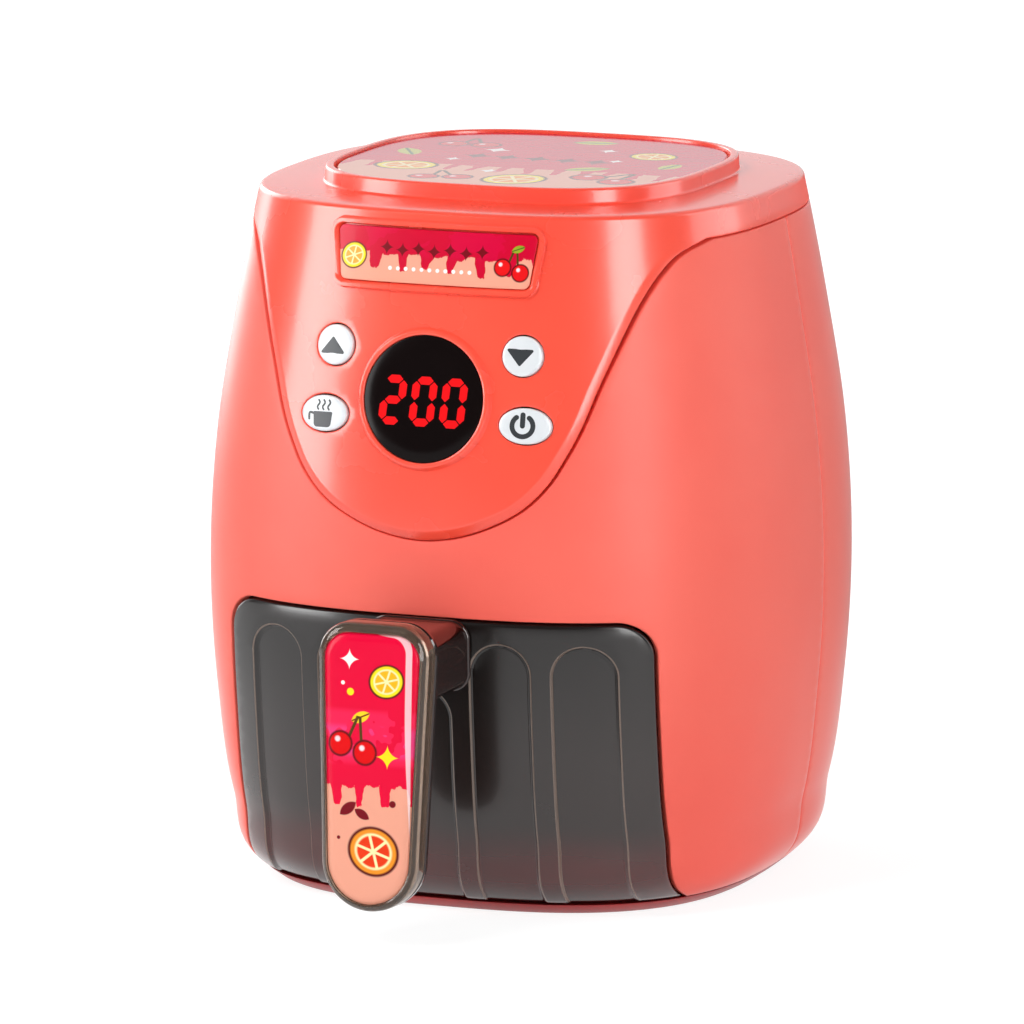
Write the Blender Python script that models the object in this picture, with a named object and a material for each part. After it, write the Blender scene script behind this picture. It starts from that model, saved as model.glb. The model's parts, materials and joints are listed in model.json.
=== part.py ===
# Toy air fryer: a barrel of two moulded shells, a top cover with the control panel, and a drawer that slides out
# of the front. Metres, +Z up. The front faces -Y, and the origin is on the barrel's axis, on the floor.

import bpy
import bmesh
from math import atan, cos, pi, radians, sin
from mathutils import Matrix, Vector

# Fits
gap = 0.0003            # between pieces that seat on each other
slide_gap = 0.0008      # beside the drawer's pan
door_gap = 0.0004       # round the battery door
drawer_gap = 0.0005     # round the drawer's front
overrun = 0.010         # how far a cutter passes what it cuts
sink = 0.0004           # how far one shape runs into the shape that it is joined to

# Barrel
total_height = 0.180
barrel_half_width = 0.07643
platform_rise = 0.00445
cover_band = 0.00745
shoulder_height = total_height - platform_rise
cover_seam_height = shoulder_height - cover_band
barrel_squareness = 2.73
barrel_segments = 64
wall = 0.0022
base_thickness = 0.003
shell_seam_depth = 0.005
profile_height_shares = (0, 0.03, 0.12, 0.27, 0.45, 0.65, 0.82, 1)
profile_width_shares = (0.786, 0.869, 0.932, 0.979, 1, 0.976, 0.918, 0.842)
level_shares = (0, 0.014, 0.03, 0.07, 0.13, 0.27, 0.45, 0.65, 0.82, 0.93, 1)

# Top cover
platform_share = 0.632
deck_rise = 0.0005
deck_thickness = 0.0022
shoulder_radius = 0.0015
platform_half_width = barrel_half_width * platform_share
platform_squareness = 3
platform_edge = 0.0006
platform_rim = 0.002
label_recess = 0.0018
top_label_thickness = 0.0008
clip_angles = (radians(-25), radians(35), radians(145), radians(205))
clip_half_angle = radians(4)
clip_thickness = 0.0016
clip_reach = 0.008

# Control panel, the tongue of the top cover that hangs down the front
panel_foot_share = 0.5451
panel_width_share = 0.798
panel_flush_share = 0.94
panel_foot_height = shoulder_height * panel_foot_share
panel_half_width = barrel_half_width * panel_width_share
panel_flush_height = shoulder_height * panel_flush_share
panel_proud = 0.0018
panel_x_shares = (0, 0.164, 0.311, 0.434, 0.525, 0.59, 0.639, 0.689, 0.751, 0.787, 0.826, 0.872, 0.928, 1)
panel_z_shares = (0, 0.018, 0.062, 0.122, 0.204, 0.305, 0.405, 0.536, 0.667, 0.756, 0.834, 0.902, 0.961, 1)

# Name plate on the shoulder
plate_drop = 0.00345
plate_height = 0.0165
plate_top_height = shoulder_height - plate_drop
plate_foot_height = plate_top_height - plate_height
plate_top_half_width = 0.028
plate_foot_half_width = 0.0259
plate_corner = 0.0032
plate_border = 0.0022
plate_proud = 0.0008
plate_recess = 0.0006
plate_thickness = 0.0006

# Display
display_share = 0.7422
display_height = shoulder_height * display_share
display_ring_radius = 0.01815
display_ring_proud = 0.0009
display_ring_edge = 0.0006
lens_radius = 0.01625
lens_thickness = 0.0012
lens_inset = 0.0003
mask_thickness = 0.0006
ledge_width = 0.0018
digit_height = 0.0131
digit_width = 0.0079
digit_pitch = 0.0085
digit_stroke = 0.0017
digit_cut_gap = 0.0003
digit_slant = radians(4)
module_half_width = 0.014
module_half_height = 0.0085

# Buttons: x, distance up the panel from the display's centre, half width and half height
arrow_x = 0.0246
arrow_rise = 0.0114
arrow_radius = 0.00555
oval_x = 0.0264
oval_drop = 0.0056
oval_half_width = 0.0072
oval_half_height = 0.005
cap_proud = 0.0009
cap_crown = 0.0004
cap_crown_share = 0.8
flange_width = 0.0012
flange_thickness = 0.001
flange_clearance = 0.0006
stem_radius = 0.0022
stem_length = 0.002
button_travel = 0.0012
button_sides = 20
pad_radius = 0.003
pad_edge = 0.0004
pad_thickness = 0.0011

# Control board, parallel to the panel
board_thickness = 0.0016
board_half_width = 0.036
board_top = 0.0245
board_foot = 0.0235
board_post_radius = 0.003
board_post_pilot = 0.0065
upper_post_x = 0.012
upper_post_rise = 0.0213
lower_post_x = 0.0162
lower_post_drop = 0.0195
chip_half_width = 0.006
chip_half_height = 0.005
chip_thickness = 0.0018

# Fasteners
screw_radius = 0.0012
screw_head_radius = 0.0026
screw_head_height = 0.0016
screw_hole_radius = 0.0015
screw_sides = 12
boss_radius = 0.0038
board_screw_length = 0.0058
shell_screw_length = 0.022
base_screw_length = 0.010
handle_screw_length = 0.013
pan_screw_length = 0.003
door_screw_length = 0.0035

# Drawer front
opening_width_share = 0.7327
opening_height_share = 0.4369
opening_half_width = barrel_half_width * opening_width_share
opening_top_height = shoulder_height * opening_height_share
opening_corner = 0.009
corner_steps = 5
front_floor_clearance = 0.0005
flute_half_width = 0.00765
flute_pitch_share = 0.3634
flute_pitch = opening_half_width * flute_pitch_share
flute_drop = 0.0062
flute_depth = 0.0009
flute_steps = 8

# Drawer pan and the chamber that it slides in
pan_width_share = 0.64
pan_rear_share = 0.5888
pan_height_share = 0.6063
pan_half_width = barrel_half_width * pan_width_share
pan_rear = barrel_half_width * pan_rear_share
pan_height = opening_top_height * pan_height_share
pan_corner = 0.012
pan_wall = 0.0016
chamber_wall = 0.0016
chamber_headroom = 0.0023
flange_headroom = 0.0055
chamber_flange_share = 0.5495
chamber_flange_thickness = 0.0016
chamber_ceiling_height = opening_top_height + chamber_headroom
chamber_flange_height = chamber_ceiling_height + flange_headroom
chamber_flange_depth = -barrel_half_width * chamber_flange_share
pan_screw_x = 0.0102
pan_screw_drop = 0.0087
pan_boss_radius = 0.003
pan_screw_head_radius = 0.0042

# Shell bosses
shell_boss_x_share = 0.7916
shell_boss_low_share = 0.1367
shell_boss_high_share = 0.7975
shell_boss_x = barrel_half_width * shell_boss_x_share
shell_boss_low = shoulder_height * shell_boss_low_share
shell_boss_high = shoulder_height * shell_boss_high_share
shell_boss_length = 0.018
tower_radius = 0.0043
tower_bore_radius = 0.0032
tower_floor = 0.012
boss_rib = 0.002
base_boss_radius = 0.0028
base_boss_height = 0.0147
front_base_boss_share = 0.183
rear_base_boss_x_share = 0.52
rear_base_boss_y_share = 0.68
front_base_boss_x = pan_half_width + slide_gap + chamber_wall + gap + base_boss_radius
front_base_boss_y = -barrel_half_width * front_base_boss_share
rear_base_boss_x = barrel_half_width * rear_base_boss_x_share
rear_base_boss_y = barrel_half_width * rear_base_boss_y_share

# Crisper tray in the pan
tray_height = 0.014
tray_thickness = 0.002
tray_gap = 0.0006
tray_foot_radius = 0.003
tray_foot_x_share = 0.73
tray_foot_front_share = 0.8
tray_foot_rear_share = 0.71
tray_foot_x = pan_half_width * tray_foot_x_share
tray_foot_front = -pan_half_width * tray_foot_front_share
tray_foot_rear = pan_rear * tray_foot_rear_share
tray_slot_width = 0.004
tray_slot_length_share = 0.33
tray_slot_pitch_x_share = 0.49
tray_slot_pitch_y_share = 0.233
tray_slot_length = pan_half_width * tray_slot_length_share
tray_slot_pitch_x = pan_half_width * tray_slot_pitch_x_share
tray_slot_pitch_y = pan_rear * tray_slot_pitch_y_share
tray_slot_columns = 3
tray_slot_rows = 6
tray_tab_half_width = 0.007
tray_tab_height = 0.010
tray_tab_thickness = 0.0024

# Handle
handle_foot_height = 0.0104
handle_standoff = 0.03557
handle_foot_reach = barrel_half_width + handle_standoff
handle_rise = 0.0038
handle_length = opening_top_height + handle_rise - handle_foot_height
handle_lean = radians(3.3)
handle_half_width = 0.0136
handle_foot_half_width = 0.0118
handle_corner = 0.0078
handle_front_depth = 0.0066
handle_depth = 0.0094
handle_wall = 0.0016
handle_side_wall = 0.0011
handle_edge = 0.0013
handle_label_thickness = 0.0006
neck_half_width = 0.0127
neck_half_height = 0.00815
neck_drop = 0.0014
neck_top_height = opening_top_height - neck_drop
neck_foot_height = neck_top_height - 2 * neck_half_height
neck_screw_x = 0.007
neck_pilot = 0.014

# Battery bay
cell_radius = 0.00725
cell_length = 0.0505
cell_nub_radius = 0.00275
cell_nub_length = 0.0015
cell_count = 3
cell_clearance = 0.0005
contact_thickness = 0.0005
contact_space = 0.0026
contact_height = 0.011
contact_bump_radius = 0.0024
bay_wall = 0.0016
bay_clearance = 0.0034
bay_rim_share = 0.844
bay_foot_height = chamber_ceiling_height + chamber_wall + bay_clearance
bay_rim_depth = barrel_half_width * bay_rim_share
sleeve_width = 0.0034
door_ledge = 0.002
door_thickness = 0.002
door_ear_radius = 0.004
door_boss_radius = 0.0054
door_screw_hole_radius = 0.0021
door_tab_x = 0.015
door_tab_half_width = 0.003
door_tab_reach = 0.0012
door_tab_thickness = 0.0014
door_tab_rise = 0.003

# Speaker
speaker_share = 0.25
speaker_height = shoulder_height * speaker_share
speaker_radius = 0.011
speaker_rim = 0.002
speaker_magnet_radius = 0.006
speaker_depth = 0.0055
speaker_setback = 0.0008
speaker_ring_wall = 0.0015
grille_slot_half_height = 0.0007
grille_pitch = 0.0032
grille_slots = 5
grille_radius = 0.0085

# Chamber light
light_share = 0.14
light_y = chamber_flange_depth * light_share
light_lens_radius = 0.006
light_lens_flange_radius = 0.0085
light_lens_flange = 0.0015
light_pocket_radius = 0.0034
light_pocket_depth = 0.003
led_radius = 0.0026
led_height = 0.0022
light_board_half_width = 0.013
light_board_half_depth = 0.010
light_board_thickness = 0.0016

# Share of the fullest radius that a round end gets, so that its arcs don't meet in one point
full_round_share = 0.999

# Wires
wire_radius = 0.0006
wire_straight = 0.0012
wire_slack = 0.012
wire_sides = 6
lead_x_share = 0.56
speaker_lead_x_share = 0.78
wire_steps = 3

full_turn = 2 * pi
front_angle = -pi / 2
rear_angle = pi / 2
sharp_angle = radians(32)


# Barrel surface

def spline(x, knots, values):
    # Smooth curve through a table: each knot's slope is that of the parabola through it and its neighbours.
    steps = [b - a for a, b in zip(knots, knots[1:])]
    rises = [(b - a) / step for a, b, step in zip(values, values[1:], steps)]
    inner = [(rises[i - 1] * steps[i] + rises[i] * steps[i - 1]) / (steps[i - 1] + steps[i])
             for i in range(1, len(steps))]
    slopes = [2 * rises[0] - inner[0]] + inner + [2 * rises[-1] - inner[-1]]
    i = max(0, min(len(steps) - 1, sum(x > knot for knot in knots) - 1))
    t = (x - knots[i]) / steps[i]
    bow = t * (1 - t)
    ease = t * t * (3 - 2 * t)
    straight = values[i] * (1 - ease) + values[i + 1] * ease
    return straight + steps[i] * bow * (slopes[i] * (1 - t) - slopes[i + 1] * t)


def half_width(z):
    # Half the barrel's width at a height.
    return barrel_half_width * spline(z / shoulder_height, profile_height_shares, profile_width_shares)


def proud(z):
    # How far the panel stands out of the barrel: most at its foot, nothing at the shoulder.
    share = (panel_flush_height - z) / (panel_flush_height - panel_foot_height)
    return panel_proud * max(0, min(1, share))


def reach(angle, half, squareness):
    # Distance from the axis to a rounded square's edge.
    return half / (abs(cos(angle)) ** squareness + abs(sin(angle)) ** squareness) ** (1 / squareness)


def across(x, half, squareness=barrel_squareness):
    # How far the rounded square reaches in depth, at a distance x from its middle.
    return half * max(0, 1 - (abs(x) / half) ** squareness) ** (1 / squareness)


def amount(offset, z):
    # An offset is a length, or a rule that gives one for each height.
    return offset(z) if callable(offset) else offset


def ring(z, half, squareness=barrel_squareness, segments=barrel_segments):
    angles = [full_turn * i / segments for i in range(segments)]
    lengths = [reach(angle, half, squareness) for angle in angles]
    return [Vector((r * cos(angle), r * sin(angle), z)) for r, angle in zip(lengths, angles)]


def barrel_ring(z, offset):
    return ring(z, half_width(z) + amount(offset, z))


def levels(low, high):
    # Heights between two limits at which the barrel has a row of points.
    between = [share * shoulder_height for share in level_shares]
    return [low] + [z for z in between if low + gap < z < high - gap] + [high]


def sector(z, inner, outer, middle, sweep):
    # Outline at one height of a slab that follows the barrel between two offsets.
    steps = max(2, round(2 * sweep * barrel_segments / full_turn))
    angles = [middle + sweep * (2 * i / steps - 1) for i in range(steps + 1)]
    points = []
    for offset, run in ((outer, angles), (inner, angles[::-1])):
        half = half_width(z) + amount(offset, z)
        points += [Vector((cos(a), sin(a), 0)) * reach(a, half, barrel_squareness) + Vector((0, 0, z)) for a in run]
    return points


def surface_frame(height, angle, offset):
    # Stands on the barrel at a height: local +Y goes straight in and local +Z runs up along the wall.
    facing = sin(angle)
    low, high = height - display_ring_radius, height + display_ring_radius
    widths = [half_width(z) + amount(offset, z) for z in (low, high)]
    lean = atan((widths[0] - widths[1]) / (high - low))
    start = Vector((0, facing * (half_width(height) + amount(offset, height)), height))
    turn = Matrix.Rotation(pi if facing > 0 else 0, 4, "Z")
    return Matrix.Translation(start) @ turn @ Matrix.Rotation(-lean, 4, "X")


def surface_depth(frame, x, up, offset, facing=-1):
    # Depth in a surface frame at which a line parallel to its local +Y meets the barrel.
    depth = 0
    for _ in range(6):
        point = frame @ Vector((x, depth, up))
        surface = across(point.x, half_width(point.z) + amount(offset, point.z))
        depth += abs(point.y) - surface if facing * point.y > 0 else 0
    return depth


def head_seat(x, height, radius, offset):
    # Depth at which a screw's flat head clears the inside of the barrel's front, facets included.
    return 2 * gap - across(x + radius, half_width(height - radius) + offset)


# Outlines

def circle(radius, sides, centre=(0, 0)):
    angles = [full_turn * i / sides for i in range(sides)]
    return [(centre[0] + radius * cos(a), centre[1] + radius * sin(a)) for a in angles]


def oval(half_x, half_z, sides, centre=(0, 0)):
    return [(centre[0] + u * half_x, centre[1] + v * half_z) for u, v in circle(1, sides)]


def rectangle(left, right, low, high):
    return [(left, low), (right, low), (right, high), (left, high)]


def arc(centre, radius, start, end, steps):
    angles = [start + (end - start) * i / steps for i in range(steps + 1)]
    return [(centre[0] + radius * cos(a), centre[1] + radius * sin(a)) for a in angles]


def rounded(left, right, low, high, radius, steps=corner_steps, square_foot=False):
    # Rectangle with round corners, or with only its top corners round.
    points = arc((right - radius, high - radius), radius, 0, pi / 2, steps)
    points += arc((left + radius, high - radius), radius, pi / 2, pi, steps)
    if square_foot:
        return points + [(left, low), (right, low)]
    points += arc((left + radius, low + radius), radius, pi, 1.5 * pi, steps)
    return points + arc((right - radius, low + radius), radius, 1.5 * pi, full_turn, steps)


def keyhole(radius, angle, length, sides=14):
    # Round boss with a straight rib that runs out from it.
    half = boss_rib / 2
    start = atan(half / radius)
    points = arc((0, 0), radius, start, full_turn - start, sides)
    points += [(length, -half), (length, half)]
    return [(u * cos(angle) - v * sin(angle), u * sin(angle) + v * cos(angle)) for u, v in points]


def shifted(outline, u, v):
    return [(a + u, b + v) for a, b in outline]


def grown(outline, distance):
    # Moves each side of an outline outwards.
    count = len(outline)
    area = sum(outline[i][0] * outline[(i + 1) % count][1] - outline[(i + 1) % count][0] * outline[i][1]
               for i in range(count))
    side = 1 if area > 0 else -1
    points = []
    for i in range(count):
        here = Vector(outline[i])
        before = (here - Vector(outline[i - 1])).normalized()
        after = (Vector(outline[(i + 1) % count]) - here).normalized()
        normals = [Vector((run.y, -run.x)) * side for run in (before, after)]
        middle = (normals[0] + normals[1]).normalized()
        points.append(tuple(here + middle * distance / max(0.5, middle.dot(normals[0]))))
    return points


# Meshes

def loft(rings, loop=False):
    # Skins a stack of rings. A loop also joins the last ring to the first; otherwise both ends are capped.
    mesh = bmesh.new()
    rows = [[mesh.verts.new(point) for point in points] for points in rings]
    pairs = list(zip(rows, rows[1:])) + ([(rows[-1], rows[0])] if loop else [])
    for low, high in pairs:
        for i in range(len(low)):
            j = (i + 1) % len(low)
            mesh.faces.new((low[i], low[j], high[j], high[i]))
    if not loop:
        mesh.faces.new(rows[0])
        mesh.faces.new(rows[-1])
    bmesh.ops.recalc_face_normals(mesh, faces=mesh.faces)
    return mesh


def extruded(points, travel):
    return loft([points, [point + travel for point in points]])


def along_x(outline, start, end):
    return extruded([Vector((start, y, z)) for y, z in outline], Vector((end - start, 0, 0)))


def along_y(outline, start, end):
    return extruded([Vector((x, start, z)) for x, z in outline], Vector((0, end - start, 0)))


def along_z(outline, start, end):
    return extruded([Vector((x, y, start)) for x, y in outline], Vector((0, 0, end - start)))


def turned(profile, sides):
    # Round piece from (radius, distance along local +Y) pairs.
    return loft([[Vector((x, depth, z)) for x, z in circle(radius, sides)] for radius, depth in profile])


def moved(mesh, matrix):
    bmesh.ops.transform(mesh, matrix=matrix, verts=mesh.verts)
    return mesh


def gathered(meshes):
    # Puts separate closed shapes into one mesh.
    whole = bmesh.new()
    for mesh in meshes:
        data = bpy.data.meshes.new("part")
        mesh.to_mesh(data)
        mesh.free()
        whole.from_mesh(data)
        bpy.data.meshes.remove(data)
    return whole


def slab(low, high, inner, outer, middle, sweep):
    return loft([sector(z, inner, outer, middle, sweep) for z in levels(low, high)])


def barrel_solid(low, high, offset):
    return loft([barrel_ring(z, offset) for z in levels(low, high)])


# Objects

def finish(name, colour, roughness, metallic=0):
    paint = bpy.data.materials.new(name)
    paint.use_nodes = True
    shader = paint.node_tree.nodes["Principled BSDF"]
    shader.inputs["Base Color"].default_value = (*colour, 1)
    shader.inputs["Roughness"].default_value = roughness
    shader.inputs["Metallic"].default_value = metallic
    paint.diffuse_color = (*colour, 1)
    return paint


def solid(name, mesh, paint, place=Matrix(), parent=None):
    data = bpy.data.meshes.new(name)
    mesh.to_mesh(data)
    mesh.free()
    data.materials.append(paint)
    return placed(name, data, place, parent)


def placed(name, data, place=Matrix(), parent=None):
    thing = bpy.data.objects.new(name, data)
    bpy.context.collection.objects.link(thing)
    if isinstance(data, bpy.types.Mesh):
        data.shade_smooth()
        data.set_sharp_from_angle(angle=sharp_angle)
    thing.parent = parent
    thing.matrix_local = place
    return thing


def tool(name, mesh, place=Matrix()):
    # Shape that only cuts or joins another.
    data = bpy.data.meshes.new(name)
    mesh.to_mesh(data)
    mesh.free()
    thing = bpy.data.objects.new(name, data)
    bpy.context.collection.objects.link(thing)
    thing.matrix_local = place
    thing.hide_render = True
    thing.display_type = "WIRE"
    return thing


def combine(thing, operation, other):
    step = thing.modifiers.new(operation.lower(), "BOOLEAN")
    step.operation = operation
    step.solver = "EXACT"
    step.object = other
    return thing


def cut(thing, *others):
    for other in others:
        combine(thing, "DIFFERENCE", other)
    return thing


def join(thing, *others):
    for other in others:
        combine(thing, "UNION", other)
    return thing


def keep(thing, *others):
    for other in others:
        combine(thing, "INTERSECT", other)
    return thing


def anchor(name, place=Matrix(), parent=None):
    # Empty that a moving group hangs on.
    return placed(name, None, place, parent)


# Places that several pieces share

far = 2 * barrel_half_width
seam_low = cover_seam_height - gap / 2
seam_high = cover_seam_height + gap / 2
display_frame = surface_frame(display_height, front_angle, proud)
speaker_frame = surface_frame(speaker_height, rear_angle, 0)
handle_frame = (Matrix.Translation((0, -handle_foot_reach, handle_foot_height))
                @ Matrix.Rotation(-handle_lean, 4, "X"))
inner_offset = -(wall + gap)
base_screw_foot = gap

lens_front = -display_ring_proud + lens_inset
mask_front = lens_front + lens_thickness + gap
ledge_depth = mask_front + mask_thickness + gap
recess_radius = lens_radius + gap
window_radius = recess_radius - ledge_width

button_places = {
    "up": (-arrow_x, arrow_rise, arrow_radius, arrow_radius),
    "down": (arrow_x, arrow_rise, arrow_radius, arrow_radius),
    "steam": (-oval_x, -oval_drop, oval_half_width, oval_half_height),
    "power": (oval_x, -oval_drop, oval_half_width, oval_half_height),
}
flange_reach = oval_x + oval_half_width + flange_width
flange_depth = surface_depth(display_frame, flange_reach, -oval_drop, -wall) + flange_clearance
stem_start = flange_depth + flange_thickness
stem_end = stem_start + stem_length
pad_start = stem_end + gap
pad_end = pad_start + pad_thickness
board_front = pad_end + button_travel + gap
board_back = board_front + board_thickness
post_places = [(x, rise) for rise, width in ((upper_post_rise, upper_post_x), (-lower_post_drop, lower_post_x))
               for x in (-width, width)]

chamber_floor = base_thickness + gap + chamber_wall
pan_foot = chamber_floor + gap
pan_top = pan_foot + pan_height
pan_floor = pan_foot + pan_wall
chamber_half_width = pan_half_width + slide_gap
chamber_rear = pan_rear + slide_gap
chamber_top = chamber_ceiling_height + chamber_wall
light_board_top = chamber_top + 2 * gap + light_lens_flange + light_board_thickness

bay_half_width = cell_length / 2 + contact_space
bay_low = bay_foot_height + bay_wall
bay_high = bay_low + cell_count * (2 * cell_radius + cell_clearance) + cell_clearance
bay_floor_depth = bay_rim_depth - 2 * (cell_radius + cell_clearance)
bay_top_height = bay_high + bay_wall
cell_heights = [bay_low + cell_clearance + cell_radius + i * (2 * cell_radius + cell_clearance)
                for i in range(cell_count)]
cell_depth = bay_floor_depth + cell_clearance + cell_radius
door_recess_outline = rounded(-bay_half_width - door_ledge, bay_half_width + door_ledge, bay_low - door_ledge,
                              bay_high + door_ledge, door_ledge, 3)
ear_height = bay_high + door_ledge + gap
door_foot = bay_low - door_ledge + door_gap
door_hinge = Matrix.Translation((0, half_width(door_foot), door_foot))
neck_height = neck_top_height - neck_half_height
pan_screw_height = pan_top - pan_screw_drop
pan_screw_seat = head_seat(pan_screw_x, pan_screw_height, pan_screw_head_radius, inner_offset - pan_wall)
neck_screw_seat = head_seat(neck_screw_x, neck_height, screw_head_radius, -wall)


def proud_less(depth):
    # Offset rule for a surface at a depth below the panel's face, or above it where the depth is negative.
    return lambda z: proud(z) - depth


def plate_outline(inset):
    # Name plate: narrower at its foot, with round corners.
    corners = grown([(-plate_foot_half_width, plate_foot_height), (plate_foot_half_width, plate_foot_height),
                     (plate_top_half_width, plate_top_height), (-plate_top_half_width, plate_top_height)], -inset)
    points = []
    for i, corner in enumerate(corners):
        here = Vector(corner)
        before = (Vector(corners[i - 1]) - here).normalized() * (plate_corner - inset)
        after = (Vector(corners[(i + 1) % 4]) - here).normalized() * (plate_corner - inset)
        for step in range(corner_steps + 1):
            t = step / corner_steps
            points.append(tuple(here + before * (1 - t) ** 2 + after * t ** 2))
    return points


def panel_outline():
    # Closed outline (x, z) of the panel, counter-clockwise from its foot, run up past the seam.
    height = cover_seam_height - panel_foot_height
    right = [(x * panel_half_width, panel_foot_height + z * height) for x, z in zip(panel_x_shares, panel_z_shares)]
    return right, [(-x, z) for x, z in right[:0:-1]]


# Shells

def base_bosses(x, y):
    # Bosses for the base's screws, one on each side, with a rib out to the wall.
    meshes = []
    for side in (-1, 1):
        angle = atan(y / x) if side > 0 else pi - atan(y / x)
        outline = shifted(keyhole(base_boss_radius, angle, barrel_half_width - x), side * x, y)
        meshes.append(along_z(outline, base_thickness + gap, base_thickness + gap + base_boss_height))
    return meshes


def side_bosses(radius, start, end):
    # Bosses for the shells' screws, high and low on each side, with a rib out to the wall.
    meshes = []
    for side in (-1, 1):
        for height in (shell_boss_low, shell_boss_high):
            outline = keyhole(radius, 0 if side > 0 else pi, barrel_half_width - shell_boss_x)
            meshes.append(along_y(shifted(outline, side * shell_boss_x, height), start, end))
    return meshes


def boss_holes(radius, start, end):
    return [along_y(circle(radius, screw_sides, (side * shell_boss_x, height)), start, end)
            for side in (-1, 1) for height in (shell_boss_low, shell_boss_high)]


def base_holes(places, radius, start, end):
    return [along_z(circle(radius, screw_sides, (side * x, y)), start, end) for x, y in places for side in (-1, 1)]


def half_shell(name, paint, cut_from, cut_to):
    # The barrel's wall between the base and the top cover's seam, without the half between two depths.
    rows = levels(base_thickness + gap, seam_low)
    rings = [barrel_ring(z, 0) for z in rows] + [barrel_ring(z, -wall) for z in reversed(rows)]
    thing = solid(name, loft(rings, loop=True), paint)
    outline = rectangle(-far, far, -overrun, total_height + overrun)
    return cut(thing, tool(name + "_half_cut", along_y(outline, cut_from, cut_to)))


def front_shell(paint):
    limit = shell_seam_depth - gap / 2
    thing = half_shell("front_shell", paint, limit, far)
    right, left = panel_outline()
    top = cover_seam_height + overrun
    panel = grown(right + [(panel_half_width, top), (-panel_half_width, top)] + left, gap)
    opening = rounded(-opening_half_width, opening_half_width, -overrun, opening_top_height, opening_corner,
                      square_foot=True)
    cut(thing, tool("panel_cut", along_y(panel, -far, -wall)), tool("drawer_cut", along_y(opening, -far, -wall)))
    bosses = tool("front_bosses", gathered(side_bosses(boss_radius, limit - shell_boss_length, limit)
                                           + base_bosses(front_base_boss_x, front_base_boss_y)))
    keep(bosses, tool("front_boss_limit", barrel_solid(0, cover_seam_height, -wall / 2)))
    pilots = boss_holes(screw_hole_radius, limit - shell_boss_length + wall, limit + overrun)
    pilots += base_holes([(front_base_boss_x, front_base_boss_y)], screw_hole_radius, 0,
                         base_thickness + base_boss_height - wall)
    return cut(join(thing, bosses), tool("front_pilots", gathered(pilots)))


def rear_shell(paint):
    limit = shell_seam_depth + gap / 2
    thing = half_shell("rear_shell", paint, -far, limit)
    core = tool("rear_boss_limit", barrel_solid(0, cover_seam_height, -wall / 2))
    bosses = tool("rear_bosses", gathered(side_bosses(tower_radius, limit, far)
                                          + base_bosses(rear_base_boss_x, rear_base_boss_y)))
    sleeve_outline = rounded(-bay_half_width - sleeve_width, bay_half_width + sleeve_width, bay_low - sleeve_width,
                             bay_high + sleeve_width, sleeve_width, 3)
    sleeve = tool("door_sleeve", along_y(sleeve_outline, bay_rim_depth + gap, far))
    ear = circle(door_boss_radius, screw_sides, (0, ear_height))
    boss = tool("door_boss", along_y(ear, bay_rim_depth + gap, far))
    ring_outline = circle(speaker_radius + gap + speaker_ring_wall, 24)
    speaker_ring = tool("speaker_ring", along_y(ring_outline, wall / 2, speaker_setback + wall + speaker_depth),
                        speaker_frame)
    for piece in (bosses, sleeve, boss, speaker_ring):
        join(thing, keep(piece, core))
    bores = boss_holes(screw_hole_radius, 0, far) + base_holes(
        [(rear_base_boss_x, rear_base_boss_y)], screw_hole_radius, 0, base_thickness + base_boss_height - wall)
    heads = boss_holes(tower_bore_radius, limit + tower_floor, far)
    bay = rectangle(-bay_half_width, bay_half_width, bay_low, bay_high)
    recess = tool("door_recess", slab(bay_low - overrun, bay_high + overrun, -(door_thickness + gap), overrun,
                                      rear_angle, pi / 4))
    keep(recess, tool("door_recess_shape", along_y(door_recess_outline, 0, far)))
    ear_recess = tool("ear_recess", slab(bay_low - overrun, bay_high + overrun + door_ear_radius,
                                         -(door_thickness + gap), overrun, rear_angle, pi / 8))
    keep(ear_recess, tool("ear_recess_shape", along_y(circle(door_ear_radius + door_gap, 16, (0, ear_height)), 0, far)))
    tab_notches = [along_y(rectangle(side * door_tab_x - door_tab_half_width - door_gap,
                                     side * door_tab_x + door_tab_half_width + door_gap,
                                     bay_low - door_ledge - door_tab_reach - door_gap, bay_low + overrun),
                           bay_rim_depth - overrun, half_width(bay_low) - wall) for side in (-1, 1)]
    pocket = along_y(circle(speaker_radius + gap, 24), wall + speaker_setback - gap,
                     wall + speaker_setback + speaker_depth + overrun)
    slots = []
    for i in range(grille_slots):
        up = (i - (grille_slots - 1) / 2) * grille_pitch
        half = (grille_radius ** 2 - up ** 2) ** 0.5
        slots.append(along_y(rounded(-half, half, up - grille_slot_half_height, up + grille_slot_half_height,
                                     grille_slot_half_height, 3), -overrun, wall + speaker_setback))
    hole = along_y(circle(door_screw_hole_radius, screw_sides, (0, ear_height)),
                   bay_rim_depth + wall, far)
    cut(thing, tool("rear_bores", gathered(bores)), tool("rear_head_bores", gathered(heads)),
        tool("bay_cut", along_y(bay, bay_rim_depth - overrun, far)), recess, ear_recess,
        tool("tab_notches", gathered(tab_notches)), tool("door_pilot", hole),
        tool("speaker_pocket", pocket, speaker_frame), tool("grille_slots", gathered(slots), speaker_frame))
    return thing


# Top cover and what it carries

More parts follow.
